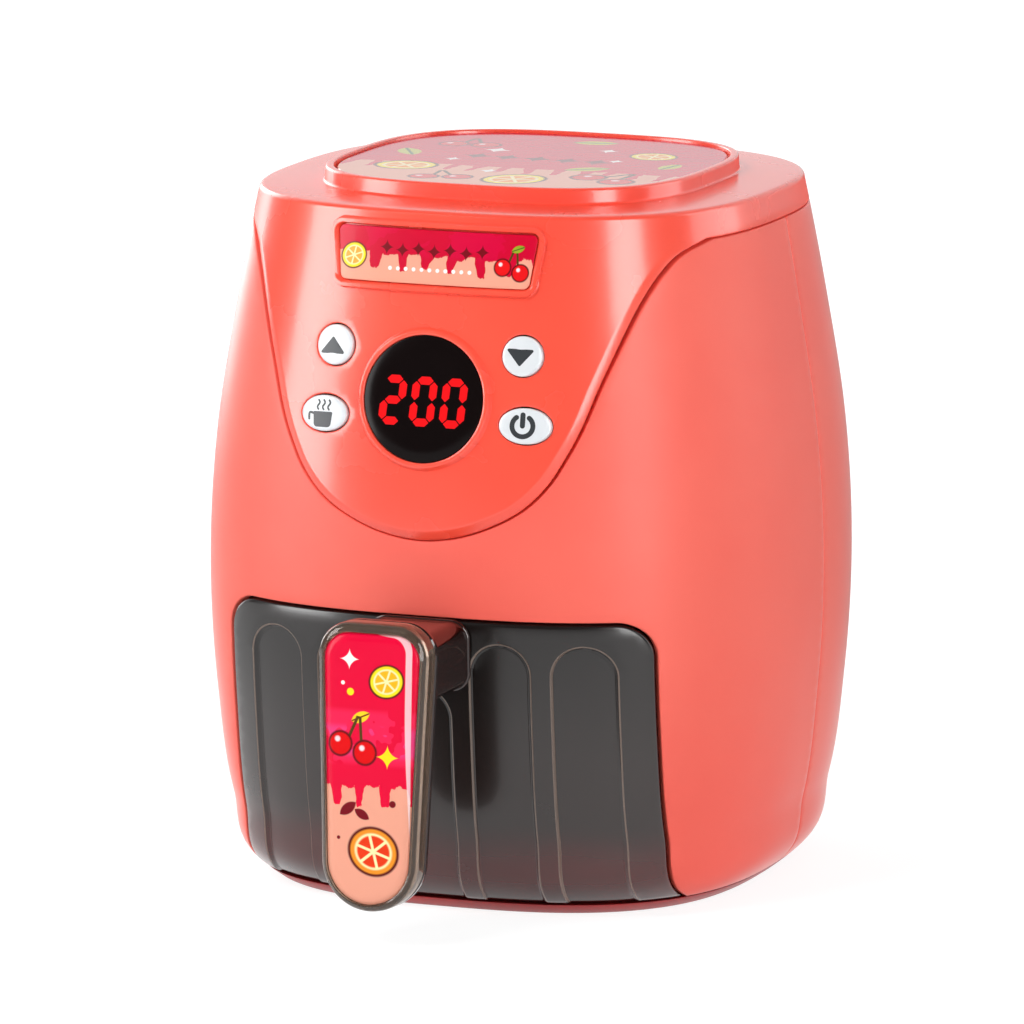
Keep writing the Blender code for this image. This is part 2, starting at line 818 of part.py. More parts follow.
def top_cover(paint):
    platform_foot = shoulder_height + deck_rise
    recess_height = total_height - label_recess
    rim_half_width = platform_half_width - platform_rim
    underside = shoulder_height - deck_thickness
    well = recess_height - deck_thickness
    outer = [ring(recess_height, rim_half_width - platform_edge, platform_squareness),
             ring(total_height, rim_half_width, platform_squareness),
             ring(total_height, platform_half_width - platform_edge, platform_squareness),
             ring(total_height - platform_edge, platform_half_width, platform_squareness),
             ring(platform_foot, platform_half_width, platform_squareness),
             ring(shoulder_height, half_width(shoulder_height) - shoulder_radius)]
    foot = panel_foot_height - wall
    rows = levels(foot, shoulder_height - shoulder_radius)
    outer += [barrel_ring(z, proud) for z in reversed(rows)]
    inner_rows = levels(foot, underside)
    inner = [barrel_ring(z, -wall) for z in inner_rows]
    inner += [ring(underside, rim_half_width, platform_squareness), ring(well, rim_half_width - wall,
                                                                         platform_squareness)]
    thing = solid("top_cover", loft(outer + inner), paint)
    clips = [slab(seam_low - clip_reach, shoulder_height - deck_thickness / 2, inner_offset - clip_thickness,
                  inner_offset, angle, clip_half_angle) for angle in clip_angles]
    posts = [along_y(circle(board_post_radius, screw_sides, (x, up)),
                     surface_depth(display_frame, x, up, proud) + wall / 2, board_front - gap)
             for x, up in post_places]
    right, left = panel_outline()
    below = ([(far, seam_high), (panel_half_width, seam_high)] + right[-2::-1] + left[:0:-1]
             + [(-panel_half_width, seam_high), (-far, seam_high), (-far, 0), (far, 0)])
    skirt = tool("cover_front_cut", along_y(below, -far, 0))
    back = tool("cover_back_cut", along_y(rectangle(-far, far, 0, seam_high), -wall, far))
    border = tool("plate_border", slab(plate_foot_height - overrun, plate_top_height + sink, proud_less(sink),
                                       proud_less(-plate_proud), front_angle, pi / 4))
    keep(border, tool("plate_border_shape", along_y(plate_outline(0), -far, 0)))
    seat = tool("plate_seat", slab(plate_foot_height - overrun, plate_top_height + sink, proud_less(plate_recess),
                                   proud_less(-overrun), front_angle, pi / 4))
    keep(seat, tool("plate_seat_shape", along_y(plate_outline(plate_border), -far, 0)))
    display_ring = turned([(display_ring_radius, wall),
                           (display_ring_radius, display_ring_edge - display_ring_proud),
                           (display_ring_radius - display_ring_edge, -display_ring_proud)], 40)
    cut(thing, skirt, back)
    join(thing, border, tool("display_ring", display_ring, display_frame),
         tool("clips", gathered(clips)), tool("board_posts", gathered(posts), display_frame))
    openings = [along_y(circle(recess_radius, 40), -overrun, ledge_depth)]
    window = along_y(circle(window_radius, 40), -overrun, board_front)
    for x, up, half_x, half_up in button_places.values():
        openings.append(along_y(oval(half_x + gap, half_up + gap, button_sides, (x, up)), -overrun, board_front))
    pilots = [along_y(circle(screw_hole_radius, screw_sides, (x, up)), board_front - board_post_pilot,
                      board_front + overrun) for x, up in post_places]
    return cut(thing, seat, tool("panel_openings", gathered(openings), display_frame),
               tool("display_window", window, display_frame), tool("post_pilots", gathered(pilots), display_frame))


def top_label(paint):
    half = platform_half_width - platform_rim - platform_edge - gap
    low = total_height - label_recess + gap
    rings = [ring(z, half, platform_squareness) for z in (low, low + top_label_thickness)]
    return solid("top_label", loft(rings), paint)


def name_plate(paint):
    low, high = plate_foot_height - overrun, plate_top_height + sink
    thing = solid("name_plate", slab(low, high, proud_less(plate_recess - gap),
                                     proud_less(plate_recess - gap - plate_thickness), front_angle, pi / 4), paint)
    return keep(thing, tool("name_plate_shape", along_y(plate_outline(plate_border + gap), -far, 0)))


def display(lens_paint, mask_paint, digit_paint, module_paint):
    edge = lens_inset
    lens = [(lens_radius - edge, lens_front), (lens_radius, lens_front + edge),
            (lens_radius, lens_front + lens_thickness)]
    solid("display_lens", turned(lens, 40), lens_paint, display_frame)
    mask = solid("display_mask", along_y(circle(lens_radius, 40), mask_front, mask_front + mask_thickness),
                 mask_paint, display_frame)
    cut(mask, tool("digit_slots", gathered([along_y(outline, mask_front - overrun, mask_front + overrun)
                                            for outline in digit_outlines("200")]), display_frame))
    module_front = gap + max(surface_depth(display_frame, module_half_width, up, -wall)
                             for up in (-module_half_height, module_half_height))
    solid("display_digits", along_y(circle(window_radius - gap, 32), ledge_depth, module_front - gap), digit_paint,
          display_frame)
    outline = rectangle(-module_half_width, module_half_width, -module_half_height, module_half_height)
    solid("display_module", along_y(outline, module_front, board_front - gap), module_paint, display_frame)


def digit_outlines(text):
    # Seven-segment digits: each lit bar is a six-sided outline, leaning with the digit.
    bars = {"0": "abcdef", "2": "abged"}
    half_x, half_z = (digit_width - digit_stroke) / 2, (digit_height - digit_stroke) / 2
    ends = {"a": ((-half_x, half_z), (half_x, half_z)), "b": ((half_x, half_z), (half_x, 0)),
            "c": ((half_x, 0), (half_x, -half_z)), "d": ((-half_x, -half_z), (half_x, -half_z)),
            "e": ((-half_x, 0), (-half_x, -half_z)), "f": ((-half_x, half_z), (-half_x, 0)),
            "g": ((-half_x, 0), (half_x, 0))}
    outlines = []
    for place, digit in enumerate(text):
        middle = (place - (len(text) - 1) / 2) * digit_pitch
        for bar in bars[digit]:
            start, end = (Vector(point) for point in ends[bar])
            run = (end - start).normalized()
            side = Vector((-run.y, run.x)) * digit_stroke / 2
            start, end = start + run * digit_cut_gap, end - run * digit_cut_gap
            point = run * digit_stroke / 2
            corners = [start, start + point + side, end - point + side, end, end - point - side,
                       start + point - side]
            outlines.append([(middle + v.x + v.y * sin(digit_slant), v.y) for v in corners])
    return outlines


def button(name, x, up, half_x, half_up, paint):
    # Cap that follows the panel's curve, a flange behind the panel, and a stem that carries the rubber pad.
    place = display_frame @ Matrix.Translation((x, 0, up))
    def cap_ring(share, rise):
        points = []
        for u, v in oval(half_x * share, half_up * share, button_sides):
            points.append(Vector((u, surface_depth(display_frame, x + u, up + v, proud) - rise, v)))
        return points
    def flat_ring(reach_x, reach_up, depth):
        return [Vector((u, depth, v)) for u, v in oval(reach_x, reach_up, button_sides)]
    rings = [cap_ring(cap_crown_share, cap_proud), cap_ring(1, cap_proud - cap_crown),
             flat_ring(half_x, half_up, flange_depth),
             flat_ring(half_x + flange_width, half_up + flange_width, flange_depth),
             flat_ring(half_x + flange_width, half_up + flange_width, stem_start),
             flat_ring(stem_radius, stem_radius, stem_start), flat_ring(stem_radius, stem_radius, stem_end)]
    return solid("button_" + name, loft(rings), paint, place)


def switch_pad(name, x, up, paint):
    # Rubber pad that the stem carries; it stops just short of the board when the cap is pressed.
    shape = [(pad_radius, pad_start), (pad_radius, pad_end - pad_edge), (pad_radius - pad_edge, pad_end)]
    return solid("switch_pad_" + name, turned(shape, screw_sides), paint,
                 display_frame @ Matrix.Translation((x, 0, up)))


def control_board(paint):
    outline = rounded(-board_half_width, board_half_width, -board_foot, board_top, board_post_radius, 3)
    thing = solid("control_board", along_y(outline, board_front, board_back), paint, display_frame)
    chip = along_y(rectangle(-chip_half_width, chip_half_width, -chip_half_height, chip_half_height),
                   board_back - sink, board_back + chip_thickness)
    holes = [along_y(circle(screw_hole_radius, screw_sides, place), 0, far) for place in post_places]
    return cut(join(thing, tool("board_chip", chip, display_frame)),
               tool("board_holes", gathered(holes), display_frame))


def screws(names, length, places, paint, parent=None, head_radius=screw_head_radius):
    # One mesh shared by a row of equal screws: the head starts at local zero, the shank runs along local +Y.
    data = bpy.data.meshes.new(names[0])
    mesh = turned([(head_radius, 0), (head_radius, screw_head_height), (screw_radius, screw_head_height),
                   (screw_radius, screw_head_height + length)], screw_sides)
    mesh.to_mesh(data)
    mesh.free()
    data.materials.append(paint)
    for name, place in zip(names, places):
        placed(name, data, place, parent)


def facing(point, turn_x=0, turn_z=0):
    # Place for a screw: local +Y is the way it is driven.
    return Matrix.Translation(point) @ Matrix.Rotation(turn_z, 4, "Z") @ Matrix.Rotation(turn_x, 4, "X")


def all_fixed_screws(steel):
    back = board_back + gap + screw_head_height
    places = [display_frame @ Matrix.Translation((x, back, up)) @ Matrix.Rotation(pi, 4, "Z")
              for x, up in post_places]
    screws(["board_screw_%d" % (i + 1) for i in range(4)], board_screw_length, places, steel)
    head = shell_seam_depth + gap / 2 + tower_floor + gap + screw_head_height
    places = [facing((side * shell_boss_x, head, height), turn_z=pi)
              for side in (-1, 1) for height in (shell_boss_low, shell_boss_high)]
    screws(["shell_screw_%d" % (i + 1) for i in range(4)], shell_screw_length, places, steel)
    places = [facing((side * x, y, base_screw_foot), turn_x=pi / 2)
              for x, y in ((front_base_boss_x, front_base_boss_y), (rear_base_boss_x, rear_base_boss_y))
              for side in (-1, 1)]
    screws(["base_screw_%d" % (i + 1) for i in range(4)], base_screw_length, places, steel)


def base_plate(paint):
    thing = solid("base_plate", loft([barrel_ring(z, 0) for z in (0, base_thickness / 2, base_thickness)]), paint)
    places = [(front_base_boss_x, front_base_boss_y), (rear_base_boss_x, rear_base_boss_y)]
    seat = base_screw_foot + screw_head_height + gap
    holes = base_holes(places, screw_hole_radius, -overrun, overrun)
    heads = base_holes(places, screw_head_radius + gap, -overrun, seat)
    return cut(thing, tool("base_holes", gathered(holes)), tool("base_head_holes", gathered(heads)))


# Drawer

def flute_outlines():
    outlines = []
    for i in (-2, -1, 0, 1, 2):
        middle = i * flute_pitch
        top = opening_top_height - flute_drop if i else neck_foot_height - gap
        outlines.append([(middle + flute_half_width, -overrun)]
                        + arc((middle, top - flute_half_width), flute_half_width, 0, pi, flute_steps)
                        + [(middle - flute_half_width, -overrun)])
    return outlines


def drawer_front(paint, parent):
    low = base_thickness + front_floor_clearance
    high = opening_top_height - drawer_gap
    thing = solid("drawer_front", slab(low, high + overrun, -wall, 0, front_angle, pi / 3), paint, parent=parent)
    half = opening_half_width - drawer_gap
    keep(thing, tool("drawer_front_shape", along_y(rounded(-half, half, -overrun, high, opening_corner - drawer_gap,
                                                           square_foot=True), -far, -wall)))
    flutes = tool("flutes", slab(-wall, opening_top_height + overrun, -flute_depth, overrun, front_angle, pi / 3))
    keep(flutes, tool("flute_shapes", gathered([along_y(outline, -far, -wall) for outline in flute_outlines()])))
    bosses, pilots = [], []
    for side in (-1, 1):
        surface = across(pan_screw_x, half_width(pan_screw_height) - wall)
        place = (side * pan_screw_x, pan_screw_height)
        bosses.append(along_y(circle(pan_boss_radius, screw_sides, place), -surface - wall / 2, pan_screw_seat - gap))
        pilots.append(along_y(circle(screw_hole_radius, screw_sides, place), -surface - wall / 2,
                              pan_screw_seat + overrun))
        pilots.append(along_y(circle(screw_hole_radius, screw_sides, (side * neck_screw_x, neck_height)), -far, 0))
    cut(thing, flutes)
    join(thing, tool("pan_bosses", gathered(bosses)))
    return cut(thing, tool("front_screw_holes", gathered(pilots)))


def pan_outline(inset, corner):
    half = pan_half_width - inset
    return rounded(-half, half, -far, pan_rear - inset, corner, square_foot=True)


def drawer_pan(paint, parent):
    thing = solid("drawer_pan", along_z(pan_outline(0, pan_corner), pan_foot, pan_top), paint, parent=parent)
    keep(thing, tool("pan_limit", barrel_solid(0, chamber_top, inner_offset)))
    cavity = tool("pan_cavity", along_z(pan_outline(pan_wall, pan_corner - pan_wall), pan_floor, pan_top + overrun))
    keep(cavity, tool("pan_cavity_limit", barrel_solid(0, chamber_top, inner_offset - pan_wall)))
    holes = [along_y(circle(pan_boss_radius + gap, screw_sides, (side * pan_screw_x, pan_screw_height)), -far,
                     -pan_screw_x) for side in (-1, 1)]
    return cut(thing, cavity, tool("pan_boss_holes", gathered(holes)))


def chamber_outline(inset, front):
    half = chamber_half_width + inset
    return rounded(-half, half, front, chamber_rear + inset, pan_corner + slide_gap + inset, square_foot=True)


def chamber(paint):
    foot = base_thickness + gap
    thing = solid("drawer_chamber", along_z(chamber_outline(chamber_wall, chamber_flange_depth), foot, chamber_top),
                  paint)
    plate = along_y(rectangle(-far, far, foot, chamber_flange_height), chamber_flange_depth - chamber_flange_thickness,
                    chamber_flange_depth + sink)
    cavity = along_z(chamber_outline(0, -far), chamber_floor, chamber_ceiling_height)
    hole = along_z(circle(light_lens_radius + gap, 20, (0, light_y)), chamber_ceiling_height - overrun, far)
    cut(join(thing, tool("chamber_flange", plate)), tool("chamber_cavity", cavity), tool("chamber_light_hole", hole))
    return keep(thing, tool("chamber_limit", barrel_solid(base_thickness, chamber_flange_height + overrun,
                                                          inner_offset)))


def crisper_tray(paint, parent):
    low = pan_foot + tray_height
    inset = pan_wall + tray_gap
    thing = solid("crisper_tray", along_z(pan_outline(inset, pan_corner - inset), low, low + tray_thickness), paint,
                  parent=parent)
    keep(thing, tool("tray_limit", barrel_solid(0, chamber_top, inner_offset - pan_wall - tray_gap)))
    feet = [along_z(circle(tray_foot_radius, screw_sides, (side * tray_foot_x, y)), pan_floor + gap, low + sink)
            for side in (-1, 1) for y in (tray_foot_front, tray_foot_rear)]
    tab_outline = rounded(-tray_tab_half_width, tray_tab_half_width, low + tray_thickness - sink,
                          low + tray_thickness + tray_tab_height, tray_tab_half_width * full_round_share,
                          square_foot=True)
    tab = along_y(tab_outline, -tray_slot_width - tray_tab_thickness / 2, -tray_slot_width + tray_tab_thickness / 2)
    slots = []
    for column in range(tray_slot_columns):
        for row in range(tray_slot_rows):
            x = (column - (tray_slot_columns - 1) / 2) * tray_slot_pitch_x
            y = (row - (tray_slot_rows - 1) / 2) * tray_slot_pitch_y - tray_slot_width
            slots.append(along_z(rounded(x - tray_slot_length / 2, x + tray_slot_length / 2, y - tray_slot_width / 2,
                                         y + tray_slot_width / 2, tray_slot_width / 2 * full_round_share, 2), 0, far))
    return join(cut(thing, tool("tray_slots", gathered(slots))), tool("tray_feet", gathered(feet)),
                tool("tray_tab", tab))


# Handle

def handle_outline(inset):
    # Front view (x, up): a round foot that widens to a top with round corners.
    foot, top = handle_foot_half_width, handle_half_width
    points = arc((0, foot), foot, pi, full_turn, 12)
    points += arc((top - handle_corner, handle_length - handle_corner), handle_corner, 0, pi / 2, 6)
    points += arc((handle_corner - top, handle_length - handle_corner), handle_corner, pi / 2, pi, 6)
    return grown(points, -inset) if inset else points


def handle_ring(inset, depth):
    return [Vector((x, depth, up)) for x, up in handle_outline(inset)]


def handle(clear_paint, card_paint, steel, parent):
    side = handle_side_wall
    shell_rings = [handle_ring(handle_edge, 0), handle_ring(handle_edge / 3, handle_edge / 2),
                   handle_ring(0, handle_edge * 1.5), handle_ring(0, handle_front_depth),
                   handle_ring(side, handle_front_depth), handle_ring(side, handle_wall)]
    solid("handle_shell", loft(shell_rings), clear_paint, handle_frame, parent)
    card = handle_wall + gap
    solid("handle_label", loft([handle_ring(side + gap, card), handle_ring(side + gap, card + handle_label_thickness)]),
          card_paint, handle_frame, parent)
    plate_start = handle_front_depth + gap
    back = solid("handle_back", loft([handle_ring(0, plate_start), handle_ring(0, handle_depth)]), clear_paint,
                 parent=parent)
    back.data.transform(handle_frame)
    neck_start = (plate_start + handle_depth) / 2 - handle_foot_reach
    radius = (neck_top_height - neck_foot_height) / 2
    neck = rounded(-neck_half_width, neck_half_width, neck_foot_height, neck_top_height, radius * full_round_share)
    rise = (neck_height - handle_foot_height) * sin(handle_lean)
    join(back, tool("neck", along_y(neck, neck_start + rise, -wall)))
    holes = [along_y(circle(screw_hole_radius, screw_sides, (side_x * neck_screw_x, neck_height)),
                     -half_width(neck_height) - neck_pilot, 0) for side_x in (-1, 1)]
    cut(back, tool("neck_limit", barrel_solid(neck_foot_height - overrun, neck_top_height + overrun, gap)),
        tool("neck_pilots", gathered(holes)))
    head = neck_screw_seat + screw_head_height
    screws(["handle_screw_1", "handle_screw_2"], handle_screw_length,
           [facing((side_x * neck_screw_x, head, neck_height), turn_z=pi) for side_x in (-1, 1)], steel, parent)
    head = pan_screw_seat + screw_head_height
    screws(["pan_screw_1", "pan_screw_2"], pan_screw_length,
           [facing((side_x * pan_screw_x, head, pan_screw_height), turn_z=pi) for side_x in (-1, 1)], steel, parent,
           pan_screw_head_radius)


# Batteries

def battery_box(paint):
    half = bay_half_width + bay_wall
    thing = solid("battery_box", along_y(rectangle(-half, half, bay_foot_height, bay_top_height),
                                         bay_floor_depth - bay_wall, bay_rim_depth), paint)
    cavity = along_y(rectangle(-bay_half_width, bay_half_width, bay_low, bay_high), bay_floor_depth,
                     bay_rim_depth + overrun)
    return cut(thing, tool("battery_cavity", cavity))


def cells(paint):
    half = cell_length / 2
    shape = [(cell_radius, -half), (cell_radius, half - cell_nub_length), (cell_nub_radius, half - cell_nub_length),
             (cell_nub_radius, half)]
    data = bpy.data.meshes.new("battery_cell")
    mesh = turned(shape, 20)
    mesh.to_mesh(data)
    mesh.free()
    data.materials.append(paint)
    for i, height in enumerate(cell_heights):
        turn = Matrix.Rotation(-pi / 2 if i % 2 else pi / 2, 4, "Z")
        placed("battery_cell_%d" % (i + 1), data, Matrix.Translation((0, cell_depth, height)) @ turn)


def contact(name, side, held, paint):
    # Sheet contact against one end wall of the bay, with a bump for each cell that it touches.
    plate_outer = bay_half_width - gap
    plate_inner = plate_outer - contact_thickness
    heights = [cell_heights[i] for i in held]
    low, high = heights[0] - contact_height / 2, heights[-1] + contact_height / 2
    outline = [(cell_depth - contact_height / 2, low), (cell_depth + contact_height / 2, low),
               (cell_depth + contact_height / 2, high), (cell_depth - contact_height / 2, high)]
    thing = solid(name, along_x(outline, side * plate_inner, side * plate_outer), paint)
    bumps = [along_x(circle(contact_bump_radius, 10, (cell_depth, height)), side * (cell_length / 2 + gap),
                     side * (plate_inner + contact_thickness / 2)) for height in heights]
    return join(thing, tool(name + "_bumps", gathered(bumps)))


def battery_door(paint, steel, parent):
    # The door turns about its lower outer edge, so its origin is there.
    from_hinge = door_hinge.inverted()
    low = bay_low - door_ledge - overrun
    thing = solid("battery_door", slab(low, bay_high + overrun + door_ear_radius, -door_thickness, 0, rear_angle,
                                       pi / 4), paint, parent=parent)
    thing.data.transform(from_hinge)
    ear = arc((0, ear_height), door_ear_radius, 0, pi, 10)
    body = grown(door_recess_outline, -door_gap)
    panel = tool("door_shape", along_y(body, 0, far))
    lobe = tool("door_ear", along_y([(door_ear_radius, ear_height - door_ear_radius)] + ear
                                    + [(-door_ear_radius, ear_height - door_ear_radius)], 0, far))
    join(panel, lobe)
    keep(thing, panel)
    inside = half_width(bay_low) - door_thickness
    step, tip = inside - door_tab_thickness, inside - 2 * door_tab_thickness
    hook = [(inside + sink, door_foot + sink), (inside + sink, door_foot + door_tab_rise),
            (tip, door_foot + door_tab_rise), (tip, door_foot - door_tab_reach),
            (step, door_foot - door_tab_reach), (step, door_foot + sink)]
    tabs = [along_x(hook, side * door_tab_x - door_tab_half_width, side * door_tab_x + door_tab_half_width)
            for side in (-1, 1)]
    hole = along_y(circle(screw_hole_radius, screw_sides, (0, ear_height)), 0, far)
    head = along_y(circle(screw_head_radius + gap, screw_sides, (0, ear_height)),
                   half_width(ear_height) - door_thickness / 2, far)
    join(thing, tool("door_tabs", gathered(tabs)))
    cut(thing, tool("door_hole", hole), tool("door_head_hole", head))
    outer = half_width(ear_height) - door_thickness / 2 + gap + screw_head_height
    screws(["battery_door_screw"], door_screw_length,
           [from_hinge @ facing((0, outer, ear_height), turn_z=pi)], steel, parent)


# Speaker and light

def speaker(paint):
    front = wall + speaker_setback
    shape = [(speaker_radius, front), (speaker_radius, front + speaker_rim),
             (speaker_magnet_radius, front + speaker_rim + speaker_rim / 2),
             (speaker_magnet_radius, front + speaker_depth)]
    return solid("speaker", turned(shape, 24), paint, speaker_frame)


def light(lens_paint, board_paint):
    flange_foot = chamber_top + gap
    flange_top = flange_foot + light_lens_flange
    plug_foot = chamber_ceiling_height + gap
    shape = [(light_pocket_radius, flange_top - light_pocket_depth), (light_pocket_radius, flange_top),
             (light_lens_flange_radius, flange_top), (light_lens_flange_radius, flange_foot),
             (light_lens_radius, flange_foot), (light_lens_radius, plug_foot - light_lens_flange)]
    rings = [[Vector((x, y + light_y, z)) for x, y in circle(radius, 20)] for radius, z in shape]
    solid("light_lens", loft(rings), lens_paint)
    low = light_board_top - light_board_thickness
    outline = rectangle(-light_board_half_width, light_board_half_width, light_y - light_board_half_depth,
                        light_y + light_board_half_depth)
    board = solid("light_board", along_z(outline, low, low + light_board_thickness), board_paint)
    join(board, tool("led", along_z(circle(led_radius, screw_sides, (0, light_y)), low - led_height, low + sink)))


# Wires

def wire(name, points, paint):
    # Smooth tube through the route's points, with a straight run square to what it meets at both ends.
    route = [Vector(point) for point in points]
    padded = [2 * route[0] - route[1]] + route + [2 * route[-1] - route[-2]]
    path = [route[0]]
    for i in range(1, len(padded) - 2):
        before, here, there, after = padded[i - 1:i + 3]
        steps = 1 if i in (1, len(padded) - 3) else wire_steps
        for step in range(1, steps + 1):
            t = step / steps
            path.append((2 * here + (there - before) * t + (2 * before - 5 * here + 4 * there - after) * t * t
                         + (3 * here - before - 3 * there + after) * t ** 3) / 2)
    runs = [(b - a).normalized() for a, b in zip(path, path[1:])]
    headings = [runs[0]] + [(a + b).normalized() for a, b in zip(runs, runs[1:])] + [runs[-1]]
    side = headings[0].orthogonal().normalized()
    rings = []
    for centre, heading in zip(path, headings):
        side = (side - heading * side.dot(heading)).normalized()
        upward = heading.cross(side)
        rings.append([centre + side * u + upward * v for u, v in circle(wire_radius, wire_sides)])
    return solid(name, loft(rings), paint)


def leads(red, black, grey):
    # Each lead leaves its piece square to it and reaches the back of the control board the same way.
    def on_board(x, up):
        place = display_frame @ Vector((x, board_back + gap, up))
        return [place + display_frame.to_3x3() @ Vector((0, wire_straight, 0)), place]
    top = bay_top_height + gap
    slack = Vector((0, 0, wire_slack))
    for name, side, paint in (("battery_wire_red", -1, red), ("battery_wire_black", 1, black)):
        start = Vector((side * board_half_width * lead_x_share, cell_depth, top))
        end = on_board(start.x, upper_post_rise / 2)
        middle = (start + end[1]) / 2 + slack
        wire(name, [start, start + Vector((0, 0, wire_straight)), (start + middle + slack) / 2, middle,
                    (middle + end[0] + slack) / 2] + end, paint)
    magnet = wall + speaker_setback + speaker_depth + gap
    start = speaker_frame @ Vector((0, magnet, 0))
    beside = Vector((bay_half_width + bay_wall + wire_slack / 2, cell_depth, bay_foot_height))
    above = Vector((beside.x, beside.y, bay_top_height))
    end = on_board(board_half_width * speaker_lead_x_share, 0)
    wire("speaker_wire", [start, speaker_frame @ Vector((0, magnet + wire_straight, 0)), beside, above,
                          (above + end[0]) / 2 + slack] + end, grey)
    start = Vector((light_board_half_width / 2, light_y, light_board_top + gap))
    end = on_board(0, -lower_post_drop)
    wire("light_wire", [start, start + Vector((0, 0, wire_straight)), (start + end[0]) / 2 + slack / 4] + end, grey)


def build():
    for thing in list(bpy.data.objects):
        bpy.data.objects.remove(thing)
    coral = finish("coral shell", (0.93, 0.16, 0.11), 0.55)
    gloss = finish("gloss coral", (0.95, 0.10, 0.06), 0.18)
    dark_red = finish("dark red base", (0.22, 0.02, 0.02), 0.5)
    smoke = finish("smoke clear", (0.07, 0.06, 0.055), 0.12)
    dark = finish("dark grey", (0.05, 0.05, 0.052), 0.4)
    crimson = finish("printed card", (0.85, 0.03, 0.12), 0.35)
    peach = finish("printed plate", (0.93, 0.5, 0.36), 0.35)
    white = finish("button white", (0.80, 0.83, 0.86), 0.4)
    black = finish("display black", (0.01, 0.008, 0.008), 0.1)
    red = finish("display red", (0.9, 0.0, 0.005), 0.3)
    green = finish("circuit board", (0.03, 0.18, 0.07), 0.5)
    rubber = finish("pad rubber", (0.45, 0.45, 0.45), 0.8)
    steel = finish("screw steel", (0.55, 0.55, 0.57), 0.35, 1)
    cell = finish("cell sleeve", (0.10, 0.22, 0.13), 0.35)
    frost = finish("frosted lens", (0.9, 0.75, 0.6), 0.4)
    ivory = finish("ivory plastic", (0.7, 0.68, 0.62), 0.5)

    front_shell(coral)
    rear_shell(coral)
    top_cover(gloss)
    top_label(crimson)
    name_plate(peach)
    base_plate(dark_red)
    display(black, dark, red, ivory)
    for name, (x, up, half_x, half_up) in button_places.items():
        button(name, x, up, half_x, half_up, white)
        switch_pad(name, x, up, rubber)
    control_board(green)
    all_fixed_screws(steel)
    chamber(dark)
    drawer = anchor("drawer")
    drawer_front(smoke, drawer)
    drawer_pan(dark, drawer)
    handle(smoke, crimson, steel, drawer)
    crisper_tray(dark, drawer)
    battery_box(ivory)
    cells(cell)
    contact("battery_contact_1", 1, (0,), steel)
    contact("battery_contact_2", -1, (0, 1), steel)
    contact("battery_contact_3", 1, (1, 2), steel)
    contact("battery_contact_4", -1, (2,), steel)
    battery_door(coral, steel, anchor("battery_door_hinge", door_hinge))
    speaker(dark)
    light(frost, green)
    leads(red, black, dark)


build()
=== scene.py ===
import json
import bmesh
import bpy
import numpy as np
from math import cos, pi, radians, sin, tan
from mathutils import Matrix, Vector
from mathutils.geometry import delaunay_2d_cdt
from mathutils.kdtree import KDTree


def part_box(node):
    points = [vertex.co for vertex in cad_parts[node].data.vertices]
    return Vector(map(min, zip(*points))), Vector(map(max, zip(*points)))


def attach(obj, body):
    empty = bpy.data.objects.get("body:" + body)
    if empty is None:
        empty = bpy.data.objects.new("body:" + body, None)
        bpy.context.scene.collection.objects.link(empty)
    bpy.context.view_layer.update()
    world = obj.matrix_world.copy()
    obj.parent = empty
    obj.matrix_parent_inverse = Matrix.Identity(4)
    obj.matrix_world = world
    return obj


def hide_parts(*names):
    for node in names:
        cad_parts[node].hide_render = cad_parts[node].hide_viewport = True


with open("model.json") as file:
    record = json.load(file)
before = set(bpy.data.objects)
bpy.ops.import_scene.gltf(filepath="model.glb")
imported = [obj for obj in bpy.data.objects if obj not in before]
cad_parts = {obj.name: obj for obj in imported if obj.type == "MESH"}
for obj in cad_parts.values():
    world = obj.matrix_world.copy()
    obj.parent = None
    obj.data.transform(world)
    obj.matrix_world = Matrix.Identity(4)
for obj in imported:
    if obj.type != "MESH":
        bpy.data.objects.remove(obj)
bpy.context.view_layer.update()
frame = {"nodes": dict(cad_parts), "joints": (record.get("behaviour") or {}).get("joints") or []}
print("frame loaded:", len(frame["nodes"]), "nodes")


# The barrel's surface, as the frame has it: a rounded square at each height

barrel = {
    "shoulder": 0.17555,
    "halfWidth": 0.07643,
    "squareness": 2.73,
    "heights": (0, 0.03, 0.12, 0.27, 0.45, 0.65, 0.82, 1),        # shares of the shoulder's height
    "widths": (0.786, 0.869, 0.932, 0.979, 1, 0.976, 0.918, 0.842),  # shares of the half width
    "unroll": 0.074,     # wall lengths are measured on a round barrel of this radius
    "wall": 0.0022,
    "gap": 0.0003,
}
gap = barrel["gap"]
wall = barrel["wall"]


def halfWidthAt(z):
    knots, values = np.array(barrel["heights"]), np.array(barrel["widths"])
    steps = np.diff(knots)
    rises = np.diff(values) / steps
    inner = (rises[:-1] * steps[1:] + rises[1:] * steps[:-1]) / (steps[:-1] + steps[1:])
    slopes = np.concatenate(([2 * rises[0] - inner[0]], inner, [2 * rises[-1] - inner[-1]]))
    share = np.asarray(z, float) / barrel["shoulder"]
    i = np.clip(np.searchsorted(knots, share) - 1, 0, len(steps) - 1)
    t = (share - knots[i]) / steps[i]
    ease = t * t * (3 - 2 * t)
    straight = values[i] * (1 - ease) + values[i + 1] * ease
    bow = steps[i] * t * (1 - t) * (slopes[i] * (1 - t) - slopes[i + 1] * t)
    return barrel["halfWidth"] * (straight + bow)


def roundSquare(angle, half, squareness):
    across, along = np.abs(np.sin(angle)), np.abs(np.cos(angle))
    return half / (along ** squareness + across ** squareness) ** (1 / squareness)


